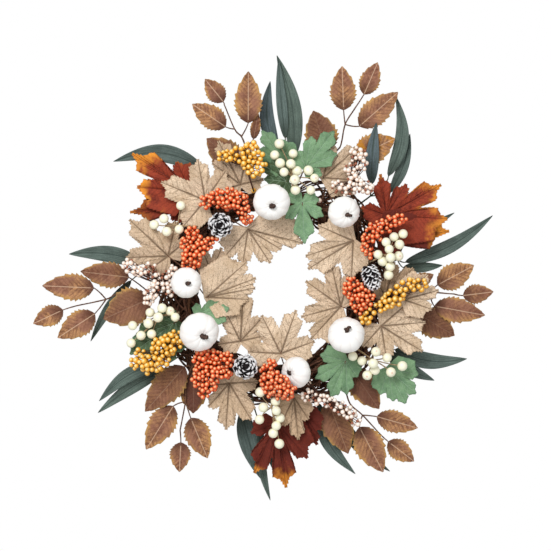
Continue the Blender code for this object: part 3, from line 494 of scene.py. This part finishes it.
def add_lobed_leaf(shape, leaf, dice, cut):
    """A leaf with veins from its stalk to its lobes, sunk between puffed-up panels."""
    base = place(leaf.x, leaf.z, leaf.depth)
    outline, arms = lobed_outline(leaf, cut)
    longest = max(arm.length for arm in arms)
    points = [base]
    marks = [(0.0, 0.0, 0.0)]
    wave = dice.uniform(0, 40)
    for ring in LEAF_RINGS:
        for rim in outline:
            flat = rim * ring
            vein = max(arms, key=lambda arm: arm.normalized().dot(rim)).normalized()
            run = max(flat.dot(vein), 0)
            gap = abs(flat.x * vein.y - flat.y * vein.x)
            rise = 2.2 * (1 - exp(-gap / 5)) + 0.08 * gap
            rise += 2.4 * noise(Vector((flat.x, flat.y, wave)) * 0.05)
            rise += 4.0 * ring ** 3 * noise(Vector((rim.x, rim.y, wave)) * 0.045)
            rise += 0.3 * sin((run - gap) * 0.75)
            depth = (leaf.tip_depth - leaf.depth) * flat.length / longest
            points.append(base + Vector((flat.x, depth, flat.y)) + FRONT * rise)
            marks.append((run, gap, ring))
    faces = capped_faces(len(LEAF_RINGS), len(outline))
    shape.add(points, faces, *np.array(marks).T, leaf.tone)


def add_stems(shape, pick, radius):
    """A pick's wire: the main stem, and a stalk that curves out to each leaf."""
    points = [place(*point) for point in pick.stem]
    add_tube(shape, smooth_path(points), (radius, radius * 0.7), lumps=0.25)
    for leaf in pick.leaves:
        base = place(leaf.x, leaf.z, leaf.depth)
        along = (place(*leaf_tip(leaf), leaf.tip_depth) - base).normalized()
        start = points[leaf.fork]
        path = smooth_path([start, start.lerp(base, 0.6) - along * 1.5, base, base + along * 4])
        add_tube(shape, path, (radius * 0.8, radius * 0.5), sides=5, lumps=0.2)


class Nodes:
    """A material's nodes. What goes into one is a number, a linear colour, another's output or the
    name of a mark. The colours to paint with are 0 to 255."""

    def __init__(self, name, roughness, specular=0.3, colour=(255, 255, 255)):
        self.material = bpy.data.materials.new(name)
        self.material.use_nodes = True
        self.tree = self.material.node_tree
        self.shader = self.tree.nodes["Principled BSDF"].inputs
        self.shader["Roughness"].default_value = roughness
        self.shader["Specular IOR Level"].default_value = specular
        self.colour = srgb(*colour)

    def link(self, value, socket):
        if isinstance(value, str):
            value = self.node("Attribute", {}, "Fac", attribute_name=value)
        if isinstance(value, bpy.types.NodeSocket):
            self.tree.links.new(value, socket)
        else:
            socket.default_value = (*value, 1) if isinstance(value, tuple) else value

    def node(self, kind, values, output, **settings):
        node = self.tree.nodes.new("ShaderNode" + kind)
        for name, setting in settings.items():
            setattr(node, name, setting)
        for name, value in values.items():
            self.link(value, node.inputs[name])
        return node.outputs[output]

    def math(self, operation, a, b=0):
        return self.node("Math", {0: a, 1: b}, 0, operation=operation)

    def times(self, a, b):
        return self.math("MULTIPLY", a, b)

    def step(self, value, low, high, start=0, end=1):
        """A smooth step from start to end as a value, or a noise of these settings, rises."""
        if isinstance(value, tuple):
            value = self.noise(*value)
        values = {"Value": value, "From Min": low, "From Max": high, "To Min": start, "To Max": end}
        return self.node("MapRange", values, "Result", interpolation_type="SMOOTHSTEP")

    def texture(self, kind, values, **settings):
        spot = self.tree.nodes.new("ShaderNodeTexCoord").outputs["Object"]
        return self.node(kind, {"Vector": spot, **values}, "Fac", **settings)

    def noise(self, scale, detail=3, roughness=0.6, distortion=0):
        return self.texture("TexNoise", {"Scale": scale, "Detail": detail, "Roughness": roughness,
                                         "Distortion": distortion})

    def mix(self, factor, a, b, blend="MIX"):
        return self.node("Mix", {"Factor": factor, "A": a, "B": b}, "Result", data_type="RGBA",
                         blend_type=blend)

    def cover(self, colour, mask):
        self.colour = self.mix(mask, self.colour, srgb(*colour))

    def paint(self, colour, *step):
        self.cover(colour, self.step(*step))

    def bump(self, height, strength, distance):
        values = {"Height": height, "Strength": strength, "Distance": distance}
        self.link(self.node("Bump", values, "Normal"), self.shader["Normal"])

    def finish(self):
        self.link(self.colour, self.shader["Base Color"])
        return self.material


def leaf_nodes(name, main, other, veins, rim, spacing, side, width, rim_start, grain=0.3,
               roughness=0.75, rib=0.85, spread=0.15):
    """Base of every leaf: mottled colour, side veins and a rim. The mask of its main veins comes
    with it, to be painted last."""
    made = Nodes(name, roughness, colour=main)
    line = made.math("DIVIDE", made.math("SUBTRACT", "along", "vein"), spacing)
    line = made.math("FRACT", made.math("ADD", line, made.noise(110)))
    line = made.math("ABSOLUTE", made.math("SUBTRACT", line, 0.5))
    side_line = made.times(made.step(line, 0, spread, side, 0), made.step("vein", 2, 20, 1, 0.35))
    taper = made.step("edge", 0, 1, width, width * 0.4)
    main_line = made.step("vein", made.times(taper, 0.2), taper, rib, 0)
    speckle = made.noise(800, 2)
    made.paint(other, "tone", 0, 1)
    shade = made.times(made.step((60, 4), 0.3, 0.7, 0.86, 1.1),
                       made.step(speckle, 0.3, 0.7, 1 - grain, 1 + grain))
    tint = made.node("CombineColor", {"Red": shade, "Green": shade, "Blue": shade}, "Color")
    made.colour = made.mix(1, made.colour, tint, "MULTIPLY")
    made.paint(rim, "edge", rim_start, 1.02)
    made.cover(veins, side_line)
    relief = made.times(made.math("MAXIMUM", side_line, main_line), -0.9)
    relief = made.math("ADD", relief, made.times(made.noise(170, 4), 2))
    made.bump(made.math("ADD", relief, speckle), 0.6, 0.001)
    return made, main_line


def willow_material():
    """Grey green, with streaks drawn out along the leaf."""
    dark = (66, 80, 74)
    made, rib = leaf_nodes("willow_leaf_look", (100, 116, 106), (92, 106, 112), dark, dark,
                           3, 0.12, 0.9, 0.88, grain=0.15)
    spot = {"X": made.times("along", 0.05), "Y": made.times("vein", 1.1), "Z": made.times("tone", 37)}
    spot = made.node("CombineXYZ", spot, "Vector")
    streak = made.node("TexNoise", {"Vector": spot, "Scale": 1}, "Fac")
    made.paint(dark, streak, 0.4, 0.62, 0, 0.6)
    made.paint((118, 140, 132), streak, 0.36, 0.26, 0, 0.5)
    made.paint((54, 64, 56), "along", 4, 34, 0.6, 0)
    made.cover((62, 76, 70), rib)
    return made.finish()


def beech_material():
    """Brown, pinker in places, with gold along the edges; a tone below 0 turns a leaf gold."""
    made, rib = leaf_nodes("beech_leaf_look", (200, 148, 98), (92, 52, 38), (88, 48, 34),
                           (210, 172, 102), 6.5, 0.62, 1, 0.7, 0.25, 0.6, 0.62, 0.26)
    pink = made.times(made.step((26,), 0.42, 0.58, 0.15, 0.85), made.step("tone", 0.9, 0.3, 0.2, 1))
    made.cover((148, 100, 80), made.times(pink, made.step("edge", 1, 0.65)))
    gold = made.times(made.step("edge", 0.5, 0.95), made.step((60,), 0.46, 0.6, 0, 0.75))
    made.cover((206, 158, 82), gold)
    smudge = made.times(made.step("vein", 1, 13, 0.7, 0.15), made.step((130, 5, 0.75), 0.42, 0.58))
    made.cover((104, 60, 42), smudge)
    made.paint((82, 44, 28), "along", 2, 22, 0.8, 0)
    made.cover((196, 132, 40), made.times(made.step("tone", 0, -1), made.step((70,), 0.42, 0.6)))
    made.cover((220, 186, 156), made.times(rib, made.step("tone", 0.3, 0.7, 1, 0.15)))
    return made.finish()


def rust_material():
    """Dark red, with gold on the rims of some leaves and on the tips of the longest lobes."""
    made, rib = leaf_nodes("rust_leaf_look", (98, 32, 18), (152, 60, 36), (92, 30, 18),
                           (120, 44, 26), 7, 0.5, 1.2, 0.92, 0.2)
    made.paint((96, 28, 18), (80, 4, 0.7), 0.48, 0.68, 0, 0.7)
    gold = made.step("edge", 0.7, 1)
    for step in (("tone", 0.4, 1), ((42,), 0.44, 0.58), ("along", 26, 58)):
        gold = made.times(gold, made.step(*step))
    reach = made.math("ADD", "along", made.times(made.noise(70, 4), 44))
    point = made.times(made.step("edge", 0.4, 0.8), made.step(reach, 80, 102, 0, 0.9))
    made.cover((236, 152, 50), made.math("MAXIMUM", gold, point))
    made.cover((84, 24, 14), rib)
    return made.finish()


def tan_material():
    """Coarse woven cloth, crackled and stained in patches."""
    made, rib = leaf_nodes("tan_leaf_look", (240, 217, 190), (196, 168, 140), (136, 112, 86),
                           (206, 176, 144), 9, 0.55, 2.3, 0.95, 0.24, 0.9)
    made.paint((196, 170, 138), (38, 4), 0.46, 0.64, 0, 0.5)
    cloth = {"Scale": 330, "Distortion": 2.5, "Detail": 2, "Detail Scale": 1.5}
    weave = [made.texture("TexWave", cloth, bands_direction=axis) for axis in "XZ"]
    made.paint((184, 154, 120), made.times(*weave), 0.05, 0.5, 0.35, 0)
    made.paint((136, 108, 82), (430, 5, 0.75), 0.54, 0.66, 0, 0.9)
    made.cover((122, 100, 78), rib)
    return made.finish()


def green_material():
    made, rib = leaf_nodes("oak_leaf_look", (128, 164, 124), (76, 96, 66), (148, 176, 146),
                           (100, 134, 100), 8, 0.4, 0.8, 0.93, 0.15)
    made.paint((94, 128, 98), (90,), 0.5, 0.68, 0, 0.5)
    made.cover((160, 186, 160), rib)
    return made.finish()


def stem_material(name, dark, light):
    made = Nodes(name, 0.8, colour=dark)
    made.paint(light, (350,), 0.35, 0.65)
    made.bump(made.noise(900, 2), 0.4, 0.0004)
    return made.finish()


def bead_material(name, main, bud, stem_end_and_shade, light, roughness=0.32, pale_from=0.74, limb=0.7):
    """Painted beads: tone is 1 for a bud, and edge runs from 0 on the wire's side to 1 opposite. Towards 0
    a bead darkens, partly the stem end's own colour and partly painted shade on the side away from the key
    lamp; near 1 comes a pale cap, a painted highlight on the small beads and the rough pink blossom end on
    the cream berries.
    """
    made = Nodes(name, roughness, 0.7, main)
    made.paint(bud, (260,), 0.35, 0.7, 0, 0.35)
    # Painted shade, together with the stem end's own colour: the side away from the key lamp darkens
    # towards the wire.
    made.paint(stem_end_and_shade, "edge", limb, limb - 0.45, 0, 0.9)
    # Pale cap: a painted highlight on the small beads; on the cream berries it is their rough pink blossom
    # end.
    made.paint(light, "edge", pale_from, pale_from + 0.16, 0, 0.8)
    made.paint(bud, "tone", 0.6, 1)
    made.bump(made.noise(700, 2), 0.15, 0.0003)
    return made.finish()


def pumpkin_material():
    made = Nodes("pumpkin_look", 0.6, 0.35, (253, 252, 249))
    # Painted shade: the grooves between the ribs are tinted greyish pink, and a noise adds a faint pink
    # blush in patches.
    blush = made.step((40,), 0.5, 0.75, 0, 0.3)
    made.cover((240, 218, 212), made.math("MAXIMUM", blush, made.step("edge", 0.4, 1, 0, 0.3)))
    made.paint((226, 212, 204), (600,), 0.64, 0.76, 0, 0.2)
    made.bump(made.noise(300, 4), 0.25, 0.0006)
    return made.finish()


def cone_material():
    """Near black, with frost on the scales' lips, more on some scales than on others."""
    made = Nodes("pinecone_look", 0.6, colour=(18, 15, 20))
    made.paint((52, 42, 44), (300,), 0.35, 0.65)
    frost = made.math("ADD", "edge", made.times(made.noise(190, 4), 0.9))
    frost = made.math("SUBTRACT", frost, made.times("tone", 0.22))
    made.paint((238, 238, 240), frost, 1.16, 1.24)
    made.bump(made.noise(700), 0.5, 0.0006)
    return made.finish()


def vine_material():
    made = Nodes("vine_look", 0.85, colour=(66, 41, 32))
    made.paint((128, 86, 64), (220, 5, 0.7, 1.5), 0.35, 0.7)
    made.paint((122, 84, 56), "tone", 0.7, 1, 0, 0.5)
    made.bump(made.noise(400, 5, 0.7), 0.8, 0.001)
    return made.finish()


def wire_material():
    made = Nodes("wire_look", 0.35, 0.5, (120, 120, 124))
    made.shader["Metallic"].default_value = 1
    made.paint((170, 170, 172), (300,), 0.3, 0.7)
    return made.finish()


def add_bead(shape, centre, radius, pole, tone, rows, columns, cap=1.0):
    """A bead whose edge mark grows from 0 to cap at the pole, a little flat there if that is 1."""
    axis = pole.normalized()
    side = axis.cross(Vector((0.31, 0.47, 0.83))).normalized()
    up = axis.cross(side)
    points = [centre + axis * radius * (1.0 if cap < 1.0 else 0.94)]
    edge = [cap]
    for i in range(1, rows):
        polar = pi * i / rows
        for angle in full_turn(columns):
            ring = side * cos(angle) + up * sin(angle)
            points.append(centre + radius * (axis * cos(polar) + ring * sin(polar)))
            edge.append(cap * (1 - i / rows))
    last = len(points)
    start = last - columns
    points.append(centre - axis * radius)
    edge.append(0.0)
    faces = capped_faces(rows - 1, columns)
    faces += [(last, start + k, start + (k + 1) % columns) for k in range(columns)]
    shape.add(points, faces, edge=edge, tone=tone)


def bead_places(node, tree, radius, closeness, dice):
    """Bead centres packed into the front of a CAD mass, no two nearer than closeness radii."""
    low, high = corners(node)
    spots = []
    for attempt in range(BEAD_TRIES):
        start = Vector((dice.uniform(low[0], high[0]), low[1] - 5, dice.uniform(low[2], high[2])))
        hit = tree.ray_cast(start, BACK)[0]
        if hit is None or hit.y > BEADS_BACK:
            continue
        spot = hit + Vector((0, radius * (0.75 + 3.0 * (attempt / BEAD_TRIES) * dice.random()), 0))
        surface, normal = tree.find_nearest(spot)[:2]
        if (spot - surface).dot(normal) > 0:
            continue
        if all((spot - other).length > closeness * radius for other in spots):
            spots.append(spot)
    return spots


def make_bead_mass(node, fork, slot, dice, look, stem_look, radius, closeness=1.72, buds=0):
    """Small beads, some of them only buds, on wires that fan out from a stem's end."""
    mesh = frame["nodes"][node].data
    points = [(vertex.co - RING_CENTRE) / MM for vertex in mesh.vertices]
    tree = BVHTree.FromPolygons(points, [tuple(face.vertices) for face in mesh.polygons])
    beads, wires = Shape(), Shape()
    for spot in bead_places(node, tree, radius, closeness, dice):
        bud = dice.random() < buds
        size = radius * (0.62 if bud else dice.uniform(0.8, 1.16))
        out = spot - fork
        # The pole leans towards the key lamp, so the pale cap painted there is a painted highlight and the
        # darker far side is painted shade.
        pole = out.normalized() * 0.3 + FRONT + PAINTED_HIGHLIGHT_SIDE + Vector([dice.uniform(-0.1, 0.1)] * 3)
        add_bead(beads, spot, size, pole, 1.0 if bud else dice.random() * 0.6, 8, 12)
        sway = Vector([dice.uniform(-2, 2) for _ in range(3)])
        add_tube(wires, smooth_path([fork, fork.lerp(spot, 0.5) + sway, spot], 3), (0.55, 0.45),
                 sides=4)
    root = tree.find_nearest(Vector((fork.x, VINE_FRONT, fork.z)))[0]
    root.y = VINE_FRONT
    add_tube(wires, smooth_path([root, Vector((root.x, fork.y + 6, root.z)), fork]), (WIRE, 1.0))
    beads.make(node, "beads", look, slot)
    wires.make(node, "wires", stem_look, slot)


def make_cream_spray(node, stem, berries, bead_look, stem_look, dice):
    """Large berries, each on its own wire from the end of a bent stem."""
    beads, wires = Shape(), Shape()
    points = [place(*point) for point in stem]
    add_tube(wires, smooth_path(points), (WIRE, 1.0), lumps=0.25)
    fork = points[-1]
    for x, z, depth in berries:
        centre = place(x, z, depth)
        size = BERRY_RADIUS * dice.uniform(0.92, 1.04)
        blossom = (x, z) in BLOSSOM_ENDS
        pole = FRONT + (0.3 if blossom else 0.8) * (centre - fork).normalized()
        add_bead(beads, centre, size, pole, dice.random() * 0.5, 14, 20, 1.0 if blossom else 0.8)
        middle = fork.lerp(centre, 0.5) + Vector((dice.uniform(-2, 2), 3, dice.uniform(-2, 2)))
        add_tube(wires, smooth_path([fork, middle, centre]), (0.9, 0.6), sides=5, lumps=0.3)
    beads.make(node, "beads", bead_look, "cream_berry")
    wires.make(node, "wires", stem_look, "cream_berry")


def make_pumpkin(node, look, stem_look, dice):
    """Ribbed foam pumpkin with a dimpled crown, and a dark stub of a stem."""
    low, high = corners(node)
    lean_right, lean_up = (radians(angle) for angle in PUMPKIN_LEANS[node])
    axis = Vector((sin(lean_right), -1, sin(lean_up))).normalized()
    radius = min(high[0] - low[0], high[2] - low[2]) / 2
    height = 0.76 * radius
    centre = Vector(((low[0] + high[0]) / 2, low[1] + 1.3 * height, (low[2] + high[2]) / 2))
    turn = UP.rotation_difference(axis).to_matrix()
    columns = PUMPKIN_RIBS * 10
    points, edge = [], []
    phase = dice.uniform(0, 6)
    for i in range(PUMPKIN_ROWS + 1):
        polar = pi * i / PUMPKIN_ROWS
        ring = abs(sin(polar)) ** 0.88
        lift = cos(polar)
        dimple = 0.2 * exp(-(polar / 0.24) ** 2) + 0.2 * exp(-((pi - polar) / 0.5) ** 2)
        for angle in full_turn(columns):
            groove = abs(cos(PUMPKIN_RIBS * (angle + phase) / 2)) ** 0.6
            swell = 0.968 + 0.032 * groove
            wobble = 1 + 0.03 * noise(swirl(angle, lift) * 1.3 + Vector((phase, 0, 0)))
            girth = ring * swell * wobble * radius
            rise = height * (lift - copysign(dimple, lift)) * (0.97 + 0.03 * groove)
            spot = Vector((girth * cos(angle), girth * sin(angle), rise))
            points.append(centre + turn @ spot)
            edge.append(1 - groove)
    body, stem = Shape(), Shape()
    body.add(points, grid_faces(PUMPKIN_ROWS + 1, columns, close=True), edge=edge)
    made = body.make(node, "body", look, "pumpkin_foam")
    made.modifiers.new("poles", "WELD").merge_threshold = 0.02 * MM
    path = [centre + turn @ Vector((x * radius, y * radius, z * height)) for x, y, z in PUMPKIN_STEM]
    add_tube(stem, smooth_path(path, 5), (0.17 * radius, 0.09 * radius), sides=9, lumps=0.8)
    add_tube(stem, [Vector((centre.x, VINE_FRONT, centre.z)), centre], (WIRE, WIRE))
    stem.make(node, "stem", stem_look, "pumpkin_foam")


def make_cone(node, look, stem_look, dice):
    """A pinecone: thick curved scales on a spiral that closes over its tip."""
    low, high = corners(node)
    axis = Vector(CONE_TIPS[node]).normalized()
    centre = Vector(((low[0] + high[0]) / 2, 0, (low[2] + high[2]) / 2))
    sideways = abs(axis.y) < 0.5
    radius = (high[0] - low[0]) / 2 if not sideways else 13
    length = 34 if sideways else 32
    centre.y = low[1] + (radius if sideways else length / 2)
    turn = UP.rotation_difference(axis).to_matrix()
    scales = Shape()
    for n in range(CONE_SCALES):
        share = (n + 0.5) / CONE_SCALES
        angle = n * GOLDEN_ANGLE + dice.uniform(-0.25, 0.25)
        out = swirl(angle, 0)
        across = Vector((-out.y, out.x, 0))
        girth = sin(pi * (0.2 + 0.77 * share)) ** 0.62
        top = radius * 0.97 * girth * dice.uniform(0.95, 1.02)
        height = (share - 0.52) * length * 0.86
        lift = 0.2 + 1.5 * share ** 2
        width = 4.6 * (0.45 + 0.55 * girth) * dice.uniform(0.85, 1.15)
        tilt = dice.uniform(-0.22, 0.22)
        points, edge = [], []
        for i in range(7):
            t = i / 6
            half = width * (0.4 + 0.6 * sin(pi * min(0.1 + 0.78 * t, 1)))
            for k in range(7):
                v = k / 3 - 1
                reach = top * (0.35 + 0.65 * t) - 0.9 * abs(v) ** 2 * t
                spot = out * reach + across * half * v
                spot.z = height + lift * (reach - top * 0.5) - 1.1 * v * v + 1.6 * t ** 4 + tilt * half * v
                points.append(centre + turn @ spot)
                edge.append(max(t, abs(v) * (0.35 + 0.65 * t)) + 0.12 * v * tilt)
        scales.add(points, grid_faces(7, 7), edge=edge, tone=dice.random())
    scales.make(node, "scales", look, "pinecone_scale", thickness=1.5)
    core = Shape()
    ends = [centre + turn @ Vector((0, 0, s * length * 0.38)) for s in (-1, 1)]
    add_tube(core, smooth_path([ends[0], centre, ends[1]]), (radius * 0.5, radius * 0.28), sides=10)
    add_tube(core, [Vector((centre.x, VINE_FRONT, centre.z)), centre], (WIRE, WIRE))
    core.make(node, "core", stem_look, "pinecone_scale")


def wound_path(count, phase, turns, reach, sway, seed):
    """A closed path that winds round the ring, at a reach that sways."""
    path = []
    for angle in full_turn(count):
        twist = phase + turns * (angle - pi / 2)
        out = reach + sway * noise(seed(angle))
        path.append(around(angle, RING_RADIUS + out * cos(twist), out * sin(twist)))
    return path


def make_vines(look, dice):
    """The ring: lumpy vines that wind round one another, and thin twigs over them."""
    for number, name in enumerate(STRANDS):
        shape = Shape()
        for part in range(STRAND_VINES):
            spread = -0.06 * part if number == 2 else 0.12 * (part - 2)
            phase = pi / 2 + 2 * pi * (number + spread) / 3
            reach = BUNDLE_RADIUS + dice.uniform(-2.5, 1.5) if part else BUNDLE_RADIUS
            path = wound_path(120, phase, STRAND_TWISTS, reach, 1.5,
                              lambda angle: swirl(angle, part + number) * 2.5)
            radius = 3.2 if part else 4.6
            add_tube(shape, path, (radius, radius), sides=7, closed=True, lumps=0.45, tone=dice.random())
        shape.make(name, "vines", look, "vine_bark")
    shape = Shape()
    for part in range(WRAP_TWIGS):
        path = wound_path(200, -pi / 2 - part * 0.3, 9 + part, 16.2, 1.6,
                          lambda angle: swirl(angle, part) * 4)
        add_tube(shape, path, (WIRE, WIRE), sides=5, closed=True, lumps=0.5, tone=0.9)
    made = 0
    while made < STRAY_TWIGS:
        start = dice.uniform(0, 2 * pi)
        span = dice.uniform(0.4, 0.9)
        stray = dice.uniform(-19, 44)
        depth = dice.uniform(-36 if stray < 18 else -20, 12)
        path = []
        for i in range(25):
            share = i / 24
            angle = start + span * share
            away = stray * sin(pi * share) ** 0.7
            wander = swirl(angle, 0.7 * made)
            path.append(around(angle, RING_RADIUS + away + 5 * noise(wander * 5),
                               depth + 6 * noise(wander * 4)))
        if any(abs(spot.x) < 14 and spot.z > 108 for spot in path):
            continue
        add_tube(shape, path, (1.7, 1.0), sides=5, lumps=0.5, tone=dice.random())
        made += 1
    shape.make("vine_wrap", "twigs", look, "vine_bark")


def make_hanging_loop(look):
    """Steel wire: an eye round the rear strand, a twisted shank and the loop for the hook."""
    strand = Vector((0, BUNDLE_RADIUS, RING_RADIUS))
    loop_centre = strand + UP * (EYE_RADIUS + SHANK + LOOP_RADIUS)
    shape = Shape()
    for centre, radius, first in ((strand, EYE_RADIUS, BACK),
                                  (loop_centre, LOOP_RADIUS, Vector((1, 0, 0)))):
        path = [centre + radius * (first * cos(a) + UP * sin(a)) for a in full_turn(48)]
        add_tube(shape, path, (1.05, 1.05), sides=10, closed=True)
    for turn in (0, pi):
        path = []
        for i in range(33):
            angle = turn + 6 * pi * i / 32
            path.append(Vector((0.75 * cos(angle), BUNDLE_RADIUS + 0.75 * sin(angle),
                                strand.z + EYE_RADIUS + SHANK * i / 32)))
        add_tube(shape, path, (0.8, 0.8), sides=8)
    shape.make("hanging_loop", "wire", look, "steel_wire", body="hanger")


def make_leaves():
    dice = random.Random(7)
    brown_stem = stem_material("brown_stem_look", (70, 44, 34), (120, 84, 62))
    green_stem = stem_material("green_stem_look", (60, 66, 50), (96, 100, 70))
    # Picks, looks, slot, cloth's thickness, wire's radius, and how and in what form a leaf is made.
    kinds = (
        (WILLOW_PICKS, willow_material(), green_stem, "willow_leaf", 0.5, 1.2,
         add_long_leaf, (willow_half, 0.3, 0.05, 0.0, 30)),
        (BEECH_PICKS, beech_material(), brown_stem, "beech_leaf", 0.5, 1.25,
         add_long_leaf, (beech_half, 0.12, 0.06, 0.45, 56)),
        (RUST_PICKS, rust_material(), brown_stem, "rust_leaf", 0.6, 1.3, add_lobed_leaf, (RUST_CUT,)),
        (TAN_PICKS, tan_material(), brown_stem, "tan_leaf", 0.6, 1.3, add_lobed_leaf, (TAN_CUT,)),
        (OAK_PICKS, green_material(), brown_stem, "oak_leaf", 0.6, 1.3, add_lobed_leaf, (GREEN_CUT,)))
    for picks, look, stem_look, slot, thickness, radius, add_leaf, form in kinds:
        for name, pick in picks.items():
            leaves, stems = Shape(), Shape()
            for leaf in pick.leaves:
                add_leaf(leaves, leaf, dice, *form)
            leaves.make(name, "leaves", look, slot, thickness)
            add_stems(stems, pick, radius)
            stems.make(name, "stems", stem_look, slot)


def make_berries():
    dice = random.Random(11)
    dark_stem = stem_material("dark_stem_look", (44, 24, 18), (92, 54, 38))
    red_stem = stem_material("red_stem_look", (60, 14, 8), (112, 36, 18))
    pale_stem = stem_material("pale_stem_look", (140, 116, 86), (186, 160, 124))
    # Each bead look's last two colours: its darker side, partly the stem end's colour and partly painted
    # shade, and its pale cap, a painted highlight on the small beads and the pink blossom end on the cream
    # berries.
    orange = bead_material("orange_bead_look", (238, 92, 34), (206, 56, 20), (104, 12, 4),
                           (255, 196, 138))
    yellow = bead_material("yellow_bead_look", (248, 180, 46), (222, 140, 26), (134, 70, 8),
                           (255, 234, 156))
    pink = bead_material("pink_bead_look", (254, 228, 208), (160, 92, 64), (140, 76, 58),
                         (255, 252, 244), pale_from=0.66, limb=0.6)
    cream = bead_material("cream_bead_look", (254, 252, 226), (250, 246, 214), (226, 212, 164),
                          (226, 160, 144), roughness=0.4, pale_from=0.86, limb=0.5)
    # Looks, and the beads' radius, closeness and share of buds.
    kinds = {"orange": (orange, red_stem, 3.1), "yellow": (yellow, dark_stem, 3.5),
             "pink": (pink, dark_stem, 3.0, 1.66, 0.25)}
    for colour, forks in BEAD_FORKS.items():
        for name, fork in forks.items():
            node = colour + "_berries_" + name
            make_bead_mass(node, place(*fork), colour + "_berry", dice, *kinds[colour])
    for name, spray in CREAM_BERRIES.items():
        make_cream_spray("cream_berries_" + name, *spray, cream, pale_stem, dice)


def make_fruits():
    dice = random.Random(5)
    foam = pumpkin_material()
    dark_stem = stem_material("pumpkin_stem_look", (52, 38, 34), (88, 66, 56))
    for node in PUMPKIN_LEANS:
        make_pumpkin(node, foam, dark_stem, dice)
    scale = cone_material()
    black_core = stem_material("cone_core_look", (14, 12, 16), (34, 26, 26))
    for node in CONE_TIPS:
        make_cone(node, scale, black_core, dice)


def make_world(scene):
    """White surroundings, dimmer as light than they look."""
    world = bpy.data.worlds.new("studio")
    world.use_nodes = True
    tree = world.node_tree
    ambient = tree.nodes["Background"]
    backdrop = tree.nodes.new("ShaderNodeBackground")
    for background, strength in ((ambient, 0.46), (backdrop, 1.0)):
        background.inputs["Color"].default_value = (1, 1, 1, 1)
        background.inputs["Strength"].default_value = strength
    choose = tree.nodes.new("ShaderNodeMixShader")
    seen = tree.nodes.new("ShaderNodeLightPath").outputs["Is Camera Ray"]
    for output, socket in ((seen, choose.inputs["Fac"]), (ambient.outputs[0], choose.inputs[1]),
                           (backdrop.outputs[0], choose.inputs[2]),
                           (choose.outputs[0], tree.nodes["World Output"].inputs["Surface"])):
        tree.links.new(output, socket)
    scene.world = world


def make_stage():
    """White surroundings, a pale floor below the wreath, soft studio lights and the camera."""
    scene = bpy.context.scene
    scene.view_settings.view_transform = "Standard"
    make_world(scene)
    mesh = bpy.data.meshes.new("floor")
    mesh.from_pydata([(-4, -4, 0), (4, -4, 0), (4, 4, 0), (-4, 4, 0)], [], [(0, 1, 2, 3)])
    floor = add_object("floor", mesh, (0, 0, FLOOR_Z))
    paint = Nodes("floor_paint", 0.9)
    paint.colour = paint.mix(paint.noise(2), (0.9, 0.9, 0.9), (0.93, 0.93, 0.93))
    mesh.materials.append(paint.finish())
    for name, offset, size, power in (("key", (-0.7, -2.2, 1.1), 1, 42),
                                      ("fill", (1, -2.2, 0.1), 1.4, 7)):
        lamp = bpy.data.lights.new(name, "AREA")
        lamp.size = size
        lamp.energy = power
        made = add_object(name, lamp, RING_CENTRE + Vector(offset))
        made.rotation_euler = (RING_CENTRE - made.location).to_track_quat("-Z", "Y").to_euler()
    camera = bpy.data.cameras.new("camera")
    camera.sensor_width = 36
    camera.lens = camera.sensor_width * CAMERA_DISTANCE / VIEW_WIDTH
    scene.camera = add_object("camera", camera, RING_CENTRE + Vector((0.002, -CAMERA_DISTANCE, 0.0165)))
    scene.camera.rotation_euler = (pi / 2, 0, 0)


make_stage()
make_vines(vine_material(), random.Random(3))
make_hanging_loop(wire_material())
make_leaves()
make_berries()
make_fruits()
